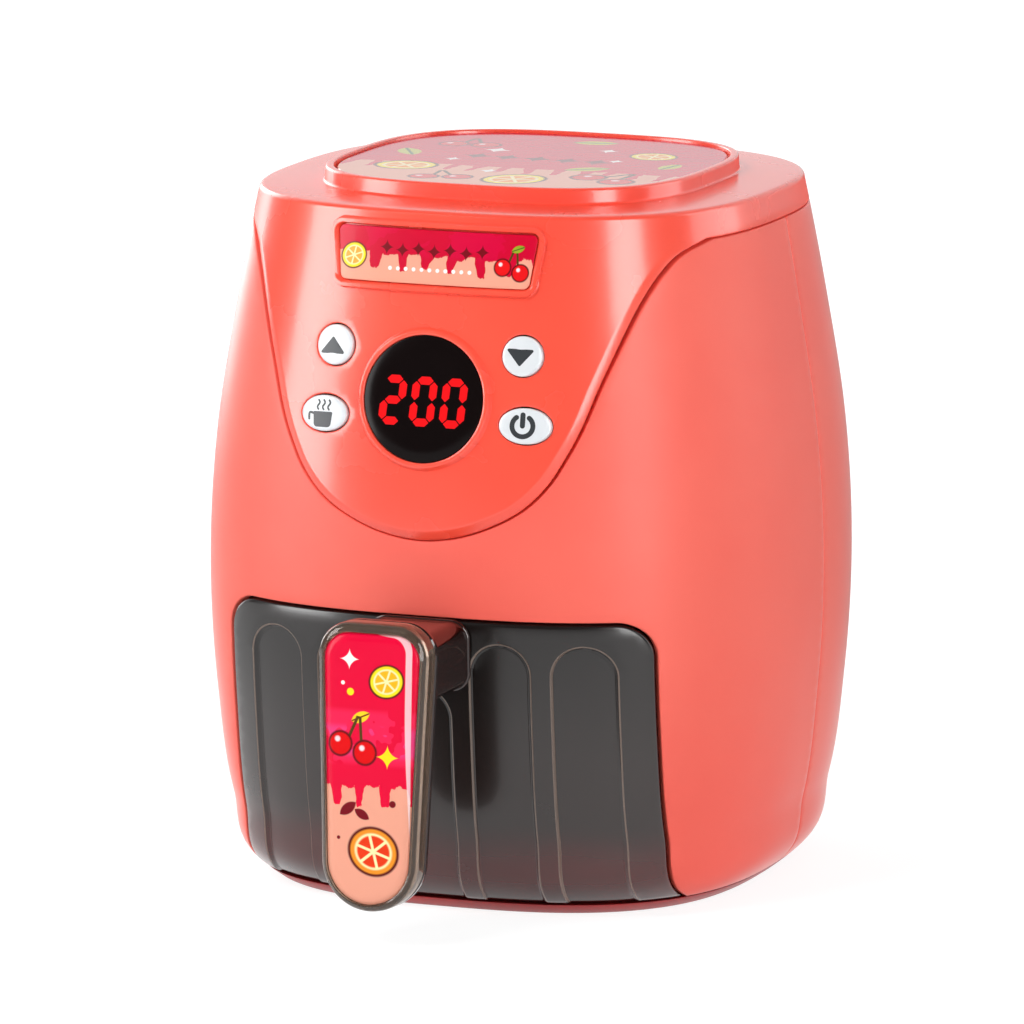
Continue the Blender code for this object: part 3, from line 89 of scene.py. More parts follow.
def onBarrel(along, z, lift=0, facing=-1):  # along the wall from mid front (-1) or mid back (+1)
    angle = np.asarray(along) / barrel["unroll"]
    reach = roundSquare(angle, halfWidthAt(z) + lift, barrel["squareness"])
    return np.stack([reach * np.sin(angle), facing * reach * np.cos(angle), np.asarray(z) + 0 * angle], -1)


def wallDepth(x, z, lift=0):  # how far back or forward the wall stands at a front view's x
    power = barrel["squareness"]
    return np.maximum((halfWidthAt(z) + lift) ** power - np.abs(x) ** power, 0) ** (1 / power)


def alongWall(x, z, lift=0):  # how far along the wall a front view's x is
    return np.arctan2(x, wallDepth(x, z, lift)) * barrel["unroll"]


def wallLine(line, lift=0):  # a front view's outline, laid along the wall
    return np.stack([alongWall(line[:, 0], line[:, 1], lift), line[:, 1]], -1)


# The control panel's own plane: x, depth into the panel, and up along it

panel = {
    "foot": 0.5451 * barrel["shoulder"],
    "halfWidth": 0.798 * barrel["halfWidth"],
    "flush": 0.94 * barrel["shoulder"],
    "proud": 0.0018,
    "seam": barrel["shoulder"] - 0.00745,
    "display": 0.7422 * barrel["shoulder"],
    "xShares": (0, 0.164, 0.311, 0.434, 0.530, 0.602, 0.657,  # the tongue's side, of the half width
                0.711, 0.769, 0.808, 0.846, 0.887, 0.935, 1),
    "zShares": (0, 0.018, 0.062, 0.122, 0.204, 0.305, 0.405,  # and of the way from foot to seam
                0.536, 0.667, 0.756, 0.834, 0.902, 0.961, 1),
}
press = next(joint for joint in frame["joints"] if joint["name"] == "up_press")
inward = np.array(press["axis"])
upward = np.array([0, -inward[2], inward[1]])


def proudAt(z):
    return panel["proud"] * np.clip((panel["flush"] - z) / (panel["flush"] - panel["foot"]), 0, 1)


displayFace = halfWidthAt(panel["display"]) + proudAt(panel["display"])
panelOrigin = np.array([0, -displayFace, panel["display"]])


def toPanel(points):
    offset = points - panelOrigin
    return offset[..., 0], offset @ inward, offset @ upward


def fromPanel(x, depth, up):
    x, depth, up = np.broadcast_arrays(np.asarray(x, float), depth, up)
    sideways = x[..., None] * np.array([1, 0, 0])
    return panelOrigin + sideways + depth[..., None] * inward + up[..., None] * upward


def panelDepth(x, up, lift=0):  # depth of the cover's face behind the panel's own plane
    depth = np.zeros(np.broadcast(x, up).shape)
    for _ in range(8):  # closes in on the face
        side, front, z = np.moveaxis(fromPanel(x, depth, up), -1, 0)
        depth = depth - front - wallDepth(side, z, proudAt(z) + lift)
    return depth


def panelToWall(x, up):  # the same place as (along the wall, height)
    point = fromPanel(x, panelDepth(x, up), up)
    return np.stack([np.arctan2(point[..., 0], -point[..., 1]) * barrel["unroll"], point[..., 2]], -1)


# Flat outlines

def evenly(points, step, closed=False):  # points at even distances along a line
    points = np.asarray(points, float)
    if closed:
        points = np.vstack([points, points[:1]])
    lengths = np.concatenate([[0], np.cumsum(np.hypot(*np.diff(points, axis=0).T))])
    count = max(2, round(lengths[-1] / step) + 1)
    places = np.linspace(0, lengths[-1], count)
    line = np.stack([np.interp(places, lengths, points[:, i]) for i in (0, 1)], -1)
    return line[:-1] if closed else line


def smoothLine(points, steps=16):  # Catmull-Rom curve through the points
    points = np.asarray(points, float)
    padded = np.vstack([2 * points[0] - points[1], points, 2 * points[-1] - points[-2]])
    line = []
    for a, b, c, d in zip(padded, padded[1:], padded[2:], padded[3:]):
        square, cube = 2 * a - 5 * b + 4 * c - d, 3 * b - a - 3 * c + d
        for t in np.linspace(0, 1, steps, endpoint=False):
            line.append((2 * b + (c - a) * t + square * t * t + cube * t ** 3) / 2)
    return np.array(line + [points[-1]])


def roundCorners(corners, radius, steps=10):  # convex outline, counter-clockwise, with round corners
    corners = [Vector(corner) for corner in corners]
    line = []
    for i, corner in enumerate(corners):
        before = (corners[i - 1] - corner).normalized()
        after = (corners[(i + 1) % len(corners)] - corner).normalized()
        half = before.angle(after) / 2
        size = radius[i] if isinstance(radius, (list, tuple)) else radius
        if size <= 0:
            line.append(tuple(corner))
            continue
        centre = corner + (before + after).normalized() * size / sin(half)
        start = corner + before * size / tan(half) - centre
        for step in range(steps + 1):
            turn = (pi - 2 * half) * step / steps
            line.append(tuple(centre + Matrix.Rotation(turn, 2) @ start))
    return np.array(line)


def boxLine(half, low, high, radius, steps):  # upright rectangle with round corners
    return roundCorners([(-half, low), (half, low), (half, high), (-half, high)], radius, steps)


def mirrored(line):  # the same line on the other side, so that one goes on from the other
    return line[::-1] * np.array([-1, 1])


def joinLines(*lines):  # a closed loop of lines that each end where the next one starts
    return np.vstack([line[:-1] for line in lines])


def archLine(half, top, corner, foot):  # up the left side, over the top and down the right
    turns = np.linspace(pi, pi / 2, 24)
    left = np.stack([corner * (1 + np.cos(turns)) - half, top - corner + corner * np.sin(turns)], -1)
    return evenly(np.vstack([[(-half, foot)], left, mirrored(left), [(half, foot)]]), 0.0004)


def openOffset(line, distance):  # an open line moved to its right
    run = np.gradient(line, axis=0)
    run = run / np.hypot(*run.T)[:, None]
    return line + np.stack([run[:, 1], -run[:, 0]], -1) * distance


def ovalLine(halfX, halfZ, count, x=0, z=0):
    angles = np.linspace(0, 2 * pi, count, endpoint=False)
    return np.stack([x + halfX * np.cos(angles), z + halfZ * np.sin(angles)], -1)


def level(x, z):  # points in a row at one height
    return np.stack([x, np.full(len(x), z)], -1)


chunk = 4000  # points handled at a time, for the memory's sake


def nearest(points, line, closed=True):  # distance from each point to a line
    starts = np.asarray(line)
    ends = np.roll(starts, -1, 0) if closed else starts[1:]
    starts = starts if closed else starts[:-1]
    runs = ends - starts
    squares = np.maximum((runs ** 2).sum(1), 1e-18)
    best = np.full(len(points), 1.0)
    for i in range(0, len(points), chunk):
        offset = points[i:i + chunk, None] - starts[None]
        share = np.clip((offset * runs).sum(2) / squares, 0, 1)
        best[i:i + chunk] = np.sqrt(((offset - share[..., None] * runs) ** 2).sum(2).min(1))
    return best


def inside(points, loops):  # whether each point lies within the first loop and in none of the rest
    crossings = np.zeros(len(points), int)
    for loop in loops:
        (ax, az), (bx, bz) = loop.T, np.roll(loop, -1, 0).T
        rise = np.where(bz == az, 1, bz - az)
        for i in range(0, len(points), chunk):
            x, z = points[i:i + chunk, 0:1], points[i:i + chunk, 1:2]
            spans = (az > z) != (bz > z)
            crossings[i:i + chunk] += (spans & (x < (bx - ax) * (z - az) / rise + ax)).sum(1)
    return crossings % 2 == 1


def within(points, loop):  # distance from a loop, negative outside it
    return nearest(points, loop) * np.where(inside(points, [loop]), 1, -1)


def area(loop):  # positive if counter-clockwise
    (x, z), (nextX, nextZ) = loop.T, np.roll(loop, -1, 0).T
    return (x * nextZ - nextX * z).sum() / 2


def counterClockwise(loop):
    return loop if area(loop) > 0 else loop[::-1]


def inset(loop, distance):  # each point of a loop moved inwards, or outwards if negative
    run = np.roll(loop, -1, 0) - np.roll(loop, 1, 0)
    run = run / np.hypot(*run.T)[:, None] * np.sign(area(loop))
    return loop + np.stack([-run[:, 1], run[:, 0]], -1) * distance


# Skins: fine triangle meshes between outlines, which are then laid on the barrel

lipShares = (0.06, 0.25, 0.55, 1)  # where the rings of points along a soft edge lie
skin = {
    "ringClear": 0.97,      # share of its distance that a ring keeps from the other edges
    "markClear": 0.00016,   # distance that a mark's points keep from the points before them
    "gridClear": 0.6,       # share of a step that the grid keeps from all of those
    "rowShare": 0.866,      # rows of even triangles
}


def lipDepth(distance, lip):  # quarter round along an edge
    share = np.clip(1 - distance / lip, 0, 1)
    return lip * (1 - np.sqrt(1 - share ** 2))


def apart(points, others, distance):  # the points that are at least that far from the others
    tree = KDTree(len(others))
    for i, other in enumerate(others):
        tree.insert((*other, 0), i)
    tree.balance()
    return points[[tree.find((*point, 0))[2] > distance for point in points]]


def spread(loops, lip, marks, step):  # triangles that fill the first loop, round the other loops
    edges, rings, start = [], [], 0
    for number, loop in enumerate(loops):
        edges += [(start + i, start + (i + 1) % len(loop)) for i in range(len(loop))]
        start += len(loop)
        for share in lipShares if lip else ():
            ring = inset(loop, (-1 if number else 1) * share * lip)
            away = np.min([nearest(ring, other) for other in loops], 0)
            rings.append(ring[away > skin["ringClear"] * share * lip])
    fixed = np.vstack(loops + rings)
    for mark in marks:
        mark = np.asarray(mark)
        mark = mark[inside(mark, loops)]
        if len(mark):
            fixed = np.vstack([fixed, apart(mark, fixed, skin["markClear"])])
    low, high = np.vstack(loops).min(0), np.vstack(loops).max(0)
    grid = []
    for row, z in enumerate(np.arange(low[1], high[1], step * skin["rowShare"])):
        grid.append(level(np.arange(low[0] + (row % 2) * step / 2, high[0], step), z))
    grid = np.vstack(grid)
    grid = apart(grid[inside(grid, loops)], fixed, step * skin["gridClear"])
    points = [Vector(point) for point in np.vstack([fixed, grid]) * 1000]
    flat, _, faces, _, _, _ = delaunay_2d_cdt(points, edges, [], 0, 1e-5)
    flat = np.array([tuple(point) for point in flat]) / 1000
    faces = np.array([tuple(face)[:3] for face in faces])
    faces = faces[inside(flat[faces].mean(1), loops)]
    (ax, az), (bx, bz), (cx, cz) = (flat[faces[:, corner]].T for corner in range(3))
    turn = (bx - ax) * (cz - az) - (bz - az) * (cx - ax)
    faces[turn < 0] = faces[turn < 0][:, ::-1]
    return flat, faces[np.abs(turn) > 1e-14]


def rimEdges(faces):  # the edges that only one triangle has
    runs = {(face[i], face[(i + 1) % 3]) for face in faces.tolist() for i in range(3)}
    return [(a, b) for a, b in runs if (b, a) not in runs]


def walled(flat, faces, outer, inner, facing=-1, openEdge=None):  # gives a skin its inner face and its edges
    count = len(flat)
    rims = [(a, b) for a, b in rimEdges(faces) if not (openEdge and openEdge(flat[a], flat[b]))]
    solid = faces.tolist() + (faces[:, ::-1] + count).tolist()
    solid += [(b, a, a + count, b + count) for a, b in rims]
    if facing > 0:
        solid = [face[::-1] for face in solid]
    return np.vstack([outer, inner]), solid


def leant(flat, faces, distance, where):  # grows the inner face there, so that a seam closes behind its lips
    shift = np.zeros_like(flat)
    for a, b in rimEdges(faces):
        run = flat[b] - flat[a]
        side = np.array([run[1], -run[0]]) / max(np.hypot(*run), 1e-9)
        shift[a] += side
        shift[b] += side
    size = np.hypot(*shift.T)[:, None]
    shift = np.where(size > 0.5, shift / np.maximum(size, 0.5), 0) * distance
    return flat + shift * where[:, None]


def placed(name, data):
    thing = bpy.data.objects.new(name, data)
    bpy.context.collection.objects.link(thing)
    return thing


def addPiece(name, vertices, faces, merge=1e-6, sharp=40):
    mesh = bpy.data.meshes.new(name)
    mesh.from_pydata([tuple(vertex) for vertex in vertices], [], [tuple(face) for face in faces])
    thing = placed(name, mesh)
    pick(thing)
    bpy.ops.object.mode_set(mode="EDIT")
    bpy.ops.mesh.select_all(action="SELECT")
    bpy.ops.mesh.remove_doubles(threshold=merge)
    bpy.ops.mesh.dissolve_degenerate(threshold=1e-7)
    bpy.ops.mesh.normals_make_consistent(inside=False)
    bpy.ops.object.mode_set(mode="OBJECT")
    bpy.ops.object.shade_smooth_by_angle(angle=radians(sharp))
    return thing


def pick(*things):  # selects these objects and nothing else
    bpy.ops.object.select_all(action="DESELECT")
    for thing in things:
        thing.select_set(True)
    bpy.context.view_layer.objects.active = things[0]


def placeKey(corner):
    return tuple(round(c * 1e7) for c in corner.co)


def raised(name, rings, sharp=35):  # a flat outline, extruded and reshaped ring by ring, closed at both ends
    bpy.ops.object.select_all(action="DESELECT")
    bpy.ops.mesh.primitive_circle_add(vertices=len(rings[0]), radius=0.01, fill_type="NGON")
    thing = bpy.context.object
    thing.name = thing.data.name = name
    bpy.ops.object.mode_set(mode="EDIT")
    bpy.ops.mesh.select_all(action="SELECT")
    for number, ring in enumerate(rings):
        if number:
            bpy.ops.mesh.extrude_region_move()
        mesh = bmesh.from_edit_mesh(thing.data)
        picked = sorted((corner for corner in mesh.verts if corner.select), key=lambda corner: corner.index)
        if number:  # the extruded corners still stand where the last ring's do
            atPlace = {placeKey(corner): corner for corner in picked}
            picked = [atPlace[key] for key in lastPlaces]
        for corner, point in zip(picked, ring):
            corner.co = point
        lastPlaces = [placeKey(corner) for corner in picked]
        bmesh.update_edit_mesh(thing.data)
    bpy.ops.mesh.select_all(action="SELECT")
    bpy.ops.mesh.normals_make_consistent(inside=False)
    bpy.ops.object.mode_set(mode="OBJECT")
    pick(thing)
    bpy.ops.object.shade_smooth_by_angle(angle=radians(sharp))
    return thing


def combine(thing, tool, operation):  # Boolean modifier, applied
    step = thing.modifiers.new("combine", "BOOLEAN")
    step.operation, step.object, step.solver = operation, tool, "EXACT"
    pick(thing)
    bpy.ops.object.modifier_apply(modifier=step.name)
    bpy.data.objects.remove(tool)
    return thing


def joined(*things):  # one object of them all
    pick(*things)
    bpy.ops.object.join()
    return bpy.context.object


def finishPiece(thing, body, slot, material, *nodes):
    thing.data.materials.clear()
    thing.data.materials.append(material)
    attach(thing, body)
    if nodes:
        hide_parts(*nodes)
    return thing


# Camera

cameraSettings = {
    "azimuth": 21.32, "elevation": 10.44,  # degrees right of the front, and up
    "distance": 2.5, "target": (0, 0, 0.08959), "lens": 347.8, "shift": -0.0204,
}


def bearing(azimuth, elevation):  # the way out to a camera or lamp
    turn, rise = radians(azimuth), radians(elevation)
    return Vector((sin(turn) * cos(rise), -cos(turn) * cos(rise), sin(rise)))


back = bearing(cameraSettings["azimuth"], cameraSettings["elevation"])
cameraData = bpy.data.cameras.new("camera")
cameraData.lens = cameraSettings["lens"]
cameraData.shift_x = cameraSettings["shift"]
camera = placed("camera", cameraData)
camera.location = Vector(cameraSettings["target"]) + back * cameraSettings["distance"]
camera.rotation_euler = back.to_track_quat("Z", "Y").to_euler()
bpy.context.scene.camera = camera


# Materials

class Socket:  # a shader socket that takes part in sums
    def __init__(self, paint, socket):
        self.paint, self.socket = paint, socket

    def __add__(self, other):
        return self.paint.maths("ADD", self, other)

    def __sub__(self, other):
        return self.paint.maths("SUBTRACT", self, other)

    def __rsub__(self, other):
        return self.paint.maths("SUBTRACT", other, self)

    def __mul__(self, other):
        return self.paint.maths("MULTIPLY", self, other)

    def __truediv__(self, other):
        return self.paint.maths("DIVIDE", self, other)

    def __pow__(self, other):
        return self.paint.maths("POWER", self, other)

    def __lt__(self, other):
        return self.paint.maths("LESS_THAN", self, other)

    def __abs__(self):
        return self.paint.maths("ABSOLUTE", self)

    __radd__, __rmul__ = __add__, __mul__

    def low(self, other):
        return self.paint.maths("MINIMUM", self, other)

    def high(self, other):
        return self.paint.maths("MAXIMUM", self, other)

    def sine(self):
        return self.paint.maths("SINE", self)

    def root(self):
        return self.paint.maths("SQRT", self)

    def rounded(self):
        return self.paint.maths("ROUND", self)

    def ease(self, start, end):  # 0 before start, 1 after end
        smooth = {"interpolation_type": "SMOOTHSTEP"}
        return self.paint.node("ShaderNodeMapRange", smooth, {"Value": self, "From Min": start, "From Max": end})


class Paint:
    def __init__(self, name, **fixed):
        self.material = bpy.data.materials.new(name)
        self.material.use_nodes = True
        self.nodes = self.material.node_tree.nodes
        self.links = self.material.node_tree.links
        self.shader = self.nodes["Principled BSDF"]
        for socket, value in fixed.items():
            self.feed(socket.replace("_", " "), value)
        colour = fixed.get("Base_Color")
        if isinstance(colour, tuple):
            self.material.diffuse_color = (*colour, 1)

    def node(self, kind, settings, inputs, output=0):
        node = self.nodes.new(kind)
        for name, value in settings.items():
            setattr(node, name, value)
        for name, value in inputs.items():
            self.join(node.inputs[name], value)
        return Socket(self, node.outputs[output])

    def maths(self, operation, *values):
        return self.node("ShaderNodeMath", {"operation": operation}, dict(enumerate(values)))

    def join(self, socket, value):
        if isinstance(value, Socket):
            self.links.new(value.socket, socket)
        elif isinstance(value, tuple) and len(value) == 3 and socket.type == "RGBA":
            socket.default_value = (*value, 1)
        else:
            socket.default_value = value

    def feed(self, name, value):
        self.join(self.shader.inputs[name], value)
        return self

    def place(self, scale=(1, 1, 1), shift=(0, 0, 0)):
        here = self.node("ShaderNodeTexCoord", {}, {}, "Object")
        return self.node("ShaderNodeMapping", {}, {"Vector": here, "Scale": scale, "Location": shift})

    def split(self, vector):
        node = self.nodes.new("ShaderNodeSeparateXYZ")
        self.join(node.inputs[0], vector)
        return [Socket(self, output) for output in node.outputs]

    def noise(self, scale, detail=2, roughness=0.5, vector=None):
        inputs = {"Vector": vector or self.place(), "Scale": scale, "Detail": detail, "Roughness": roughness}
        return self.node("ShaderNodeTexNoise", {}, inputs)

    def blend(self, share, first, second):
        return self.node("ShaderNodeMix", {"data_type": "RGBA"}, {"Factor": share, 6: first, 7: second}, 2)

    def rim(self, start, end):  # 1 where the surface turns away from the eye, for the gloss only
        return self.node("ShaderNodeLayerWeight", {}, {"Blend": 0.5}, "Facing").ease(start, end)

    def bump(self, height, strength, distance):
        inputs = {"Height": height, "Strength": strength, "Distance": distance}
        return self.feed("Normal", self.node("ShaderNodeBump", {}, inputs))


def rgb(*screen):  # screen colour, 0 to 255, as linear light
    shares = [value / 255 for value in screen]
    return tuple(c / 12.92 if c <= 0.04045 else ((c + 0.055) / 1.055) ** 2.4 for c in shares)


def skinned(paint, roughness, grain=1.0):  # the fine skin and wiped gloss of moulded plastic
    paint.feed("Roughness", paint.noise(55, 4, 0.6) * 0.08 + (roughness - 0.04))
    return paint.bump(paint.noise(2600, 2, 0.6), 0.1 * grain, 0.00012)


def moulded(name, colour, second, roughness, coat=0.0, grain=1.0, coatRoughness=0.06):  # with faint flow marks
    paint = Paint(name, Coat_Roughness=coatRoughness, Coat_Weight=coat)
    drift = paint.noise(18, 3, 0.55).ease(0.35, 0.65)
    paint.feed("Base Color", paint.blend(drift, rgb(*colour), rgb(*second)))
    return skinned(paint, roughness, grain)


def mattCoral():  # with a pale gleam where it turns away from the eye
    paint = moulded("coral", (247, 107, 92), (245, 101, 87), 0.45, 0, 1, 0.3)
    paint.feed("Specular IOR Level", 0.28)
    return paint.feed("Coat Weight", paint.rim(0.6, 1) * 0.8).material


def glossyCoral():  # upright faces lose their gloss where they turn away from the eye
    paint = moulded("gloss_coral", (255, 86, 64), (253, 81, 61), 0.25, 0.5, 0.35, 0.14)
    normal = paint.node("ShaderNodeNewGeometry", {}, {}, "Normal")
    upright = (1 - abs(paint.split(normal)[2])).ease(0.2, 0.7)
    paint.feed("Coat Weight", 0.5 - 0.5 * upright * paint.rim(0.45, 0.8))
    dulled = 0.25 + 0.3 * upright * paint.rim(0.6, 0.95)
    return paint.feed("Roughness", dulled + 0.04 * paint.noise(55, 4)).material


coral = mattCoral()
glossCoral = glossyCoral()
darkRed = moulded("dark_red", (176, 34, 34), (168, 30, 32), 0.38).material
capWhite = moulded("cap_white", (226, 230, 233), (221, 226, 230), 0.34, 0.15, 0.5).material
ink = moulded("key_ink", (46, 50, 54), (42, 46, 50), 0.4).material
print("materials ready")


# Outlines that several pieces share

drawer = {
    "halfWidth": 0.746 * barrel["halfWidth"], "top": 0.4369 * barrel["shoulder"],
    "corner": 0.009, "gap": 0.0005, "foot": 0.0035, "lip": 0.0011, "step": 0.0022, "edgeStep": 0.0009,
}
seamDepth = 0.005  # the shells meet this far behind the middle
baseTop = 0.003
shellFoot = baseTop + gap
seamLow, seamHigh = panel["seam"] - gap / 2, panel["seam"] + gap / 2

tongueRise = panel["seam"] - panel["foot"]
tongueSide = [(x * panel["halfWidth"], panel["foot"] + z * tongueRise)
              for x, z in zip(panel["xShares"], panel["zShares"])]
(lastX, lastZ), (x, z) = tongueSide[-2:]
tongueSide.append((2 * x - lastX, 2 * z - lastZ))  # runs on past the seam
tongueLine = smoothLine([(-x, z) for x, z in tongueSide[:0:-1]] + tongueSide)  # left to right, round the foot


def seamLine(facing, step):  # up the shells' seam on the right, along the wall from each shell's middle
    z = np.linspace(shellFoot, seamLow, round((seamLow - shellFoot) / step))
    y = -facing * seamDepth - gap / 2
    return np.stack([(pi / 2 + np.arctan2(y, wallDepth(y, z))) * barrel["unroll"], z], -1)


def keepBelow(line, z):  # cuts an open line where it rises past a height, and ends it there
    under = line[line[:, 1] < z - 1e-5]
    first, last = np.flatnonzero(line[:, 1] < z - 1e-5)[[0, -1]]
    ends = []
    for i, j in ((first, first - 1), (last, last + 1)):
        share = (z - line[i, 1]) / (line[j, 1] - line[i, 1])
        ends.append(line[i] + (line[j] - line[i]) * share)
    return np.vstack([ends[0], under, ends[1]])


# Front shell

shellSettings = {
    "lip": 0.00035, "step": 0.0022, "edgeStep": 0.001,
    "seamCover": 0.00026, "openingClear": 0.0005,  # growth of the inner face, and where it stops
}


def frontShell():
    s = shellSettings
    lip, edge = s["lip"], s["edgeStep"]
    opening = archLine(drawer["halfWidth"], drawer["top"], drawer["corner"], shellFoot)
    opening = evenly(wallLine(opening), edge)
    tongue = evenly(wallLine(keepBelow(openOffset(tongueLine, gap), seamLow)), edge)[::-1]
    right = seamLine(-1, edge)
    foot = evenly([opening[-1], right[0]], edge)
    top = evenly([right[-1], tongue[0]], edge)
    loop = joinLines(opening, foot, right, top, tongue, mirrored(top), mirrored(right), mirrored(foot))
    flat, faces = spread([loop], lip, [], s["step"])
    outer = onBarrel(*flat.T, -lipDepth(nearest(flat, loop), lip))
    clear = nearest(flat, opening, closed=False) > s["openingClear"]
    inner = onBarrel(*leant(flat, faces, s["seamCover"], clear).T, -wall)
    return addPiece("frontShell", *walled(flat, faces, outer, inner))


finishPiece(frontShell(), "housing", "coral", coral, "front_shell")
print("front shell done")


# Top cover: a skirt with the control panel's tongue, the shoulder, and a raised platform with a sunk label

coverSettings = {
    "lip": 0.0004, "step": 0.0016, "edgeStep": 0.001, "around": 466,  # points round the top
    "tongueLift": 0.0009, "seamCover": 0.0002,
    "softEdge": 0.0026, "softDrop": 0.0010, "softLeast": 0.00035, "softPower": 1.3, "softFade": 0.006,
    "softMarks": (0.25, 0.4, 0.55, 0.7, 0.84, 0.93, 0.98, 1.02, 1.1, 1.3),  # shares of the soft edge
    "ringRadius": 0.0172, "ringProud": 0.0009, "ringSoft": 0.0007, "ringReach": 0.0003, "ringPower": 0.3,
    "ringMarks": (-0.0009, -0.0006, -0.0003, 0, 0.0002, 0.0005, 0.001),
    "recess": 0.01575, "holeStraight": 0.0005, "holeFade": 0.0025,
    "shoulderRadius": 0.0015, "platformHalf": 0.632 * barrel["halfWidth"], "platformPower": 3, "rim": 0.002,
    "deckRise": 0.0005, "deckShares": (0.25, 0.5, 0.75, 0.93),
    "platformFillet": 0.0007, "platformEdge": 0.0008, "wellEdge": 0.0004,
    "labelRecess": 0.0018, "top": 0.180,
}
plateSettings = {
    "foot": barrel["shoulder"] - 0.0196, "top": barrel["shoulder"] - 0.0026,
    "footHalf": 0.0264, "topHalf": 0.0285, "corner": 0.0035,
    "border": 0.0018, "proud": 0.0011, "recess": 0.0006, "soft": 0.0005,
    "marks": (0.0006, 0.0002, 0, -0.0002, -0.0004, -0.0007, -0.001, -0.0012,
              -0.00135, -0.0015, -0.00165, -0.0018, -0.002, -0.0024),
    "halfReach": 0.035, "footReach": 0.004,  # where the plate's form is looked for
    "cardLip": 0.0002, "cardHalf": 0.0003,
}
skirtTop = barrel["shoulder"] - coverSettings["shoulderRadius"]
backMiddle = pi * barrel["unroll"]  # where the skirt's two ends meet
keys = {  # x, distance up the panel from the display's centre, half width, half height
    "up": (-0.0248, 0.0120, 0.00498, 0.00498),
    "down": (0.0246, 0.0120, 0.00493, 0.00495),
    "steam": (-0.0266, -0.0050, 0.00637, 0.00445),
    "power": (0.0264, -0.0050, 0.00645, 0.00442),
}


def plateLine(grow):
    p = plateSettings
    foot, top = p["footHalf"], p["topHalf"]
    corners = [(-foot, p["foot"]), (foot, p["foot"]), (top, p["top"]), (-top, p["top"])]
    line = evenly(roundCorners(corners, p["corner"], 12), 0.0005, True)
    return inset(line, -grow) if grow else line


def stepUp(distance, start, width):  # smooth rise from 0 to 1 over a width
    share = np.clip((distance - start) / width, 0, 1)
    return share * share * (3 - 2 * share)


def coverLines():  # the tongue's edge, the whole lower edge, the top edge and the outline of them all
    s = coverSettings
    tongue = evenly(wallLine(keepBelow(tongueLine, seamHigh), s["tongueLift"]), s["edgeStep"])
    right = evenly([tongue[-1], (backMiddle, seamHigh)], s["edgeStep"])
    lips = np.array(lipShares) * s["lip"]
    cut = seamHigh + np.concatenate([[0], lips, np.linspace(3 * s["lip"], skirtTop - seamHigh, 6)])
    cut = np.stack([np.full(len(cut), backMiddle), cut], -1)
    top = level(np.linspace(backMiddle, -backMiddle, s["around"] + 1), skirtTop)
    lower = np.vstack([mirrored(right), tongue[1:-1], right])
    return tongue, lower, top, joinLines(tongue, right, cut, top, mirrored(cut), mirrored(right))


def coverMarks(tongue):  # the lines that its soft forms follow
    s = coverSettings
    marks = [openOffset(tongue, -share * s["softEdge"]) for share in s["softMarks"]]
    for grow in s["ringMarks"]:
        radius = s["ringRadius"] + grow
        marks.append(panelToWall(*ovalLine(radius, radius, round(radius * 2 * pi / 0.0006)).T))
    return marks + [wallLine(plateLine(grow)) for grow in plateSettings["marks"]]


def farFrom(line, points, where):  # distance from an open line, 1 m outside the places named
    away = np.full(len(points), 1.0)
    away[where] = nearest(points[where], line, closed=False)
    return away


def coverFaces(flat, faces, tongue, lower, holes):  # its points outside and inside
    s, p = coverSettings, plateSettings
    z, proud = flat[:, 1], proudAt(flat[:, 1])
    base = onBarrel(*flat.T, proud)
    front = base[:, 1] < 0
    near = front & (np.abs(base[:, 0]) < p["halfReach"]) & (z > p["foot"] - p["footReach"])
    inPlate = np.full(len(flat), -1.0)
    inPlate[near] = within(base[near][:, [0, 2]], plateLine(0))
    lift = proud + p["proud"] * stepUp(inPlate, -p["soft"] / 3, p["soft"])
    lift -= (p["proud"] + p["recess"]) * stepUp(inPlate, p["border"] - p["soft"], p["soft"])
    low = z < panel["seam"] + 0.004
    toEdge, toTongue = farFrom(lower, flat, low), farFrom(tongue, flat, low)
    toHole = np.min([nearest(flat, hole) for hole in holes], 0)
    drop = s["softDrop"] * proud / panel["proud"] + s["softLeast"]
    drop *= stepUp(panel["seam"] - z, 0, s["softFade"])
    lift -= drop * np.clip(1 - toTongue / s["softEdge"], 0, 1) ** s["softPower"]
    lift -= np.maximum(lipDepth(toEdge, s["lip"]), lipDepth(toHole, s["lip"]))
    outer = onBarrel(*flat.T, lift)

    x, depth, up = toPanel(base)  # the display's ring is flat and square to the panel
    fromRing = s["ringRadius"] + s["ringReach"] - np.hypot(x, up)
    ring = np.clip(fromRing / s["ringSoft"], 0, 1)
    ring = np.sqrt(1 - (1 - ring) ** 2) * ring ** s["ringPower"]
    depth += (lipDepth(toHole, s["lip"]) - s["ringProud"] - depth) * ring
    mask = front & (fromRing > 0)
    outer[mask] = fromPanel(x[mask], depth[mask], up[mask])

    inner = onBarrel(*leant(flat, faces, s["seamCover"], toTongue < s["lip"]).T, -wall)
    near = front & (toHole < s["holeStraight"] + s["holeFade"])  # the holes run along the buttons' way
    straight = fromPanel(x[near], panelDepth(x[near], up[near], -wall), up[near])
    share = stepUp(toHole[near], s["holeStraight"], s["holeFade"])[:, None]
    inner[near] = straight * (1 - share) + inner[near] * share
    return outer, inner


def squareRing(angles, half, power, z):
    reach = roundSquare(angles, half, power)
    return np.stack([reach * np.sin(angles), -reach * np.cos(angles), np.full(len(angles), z)], -1)


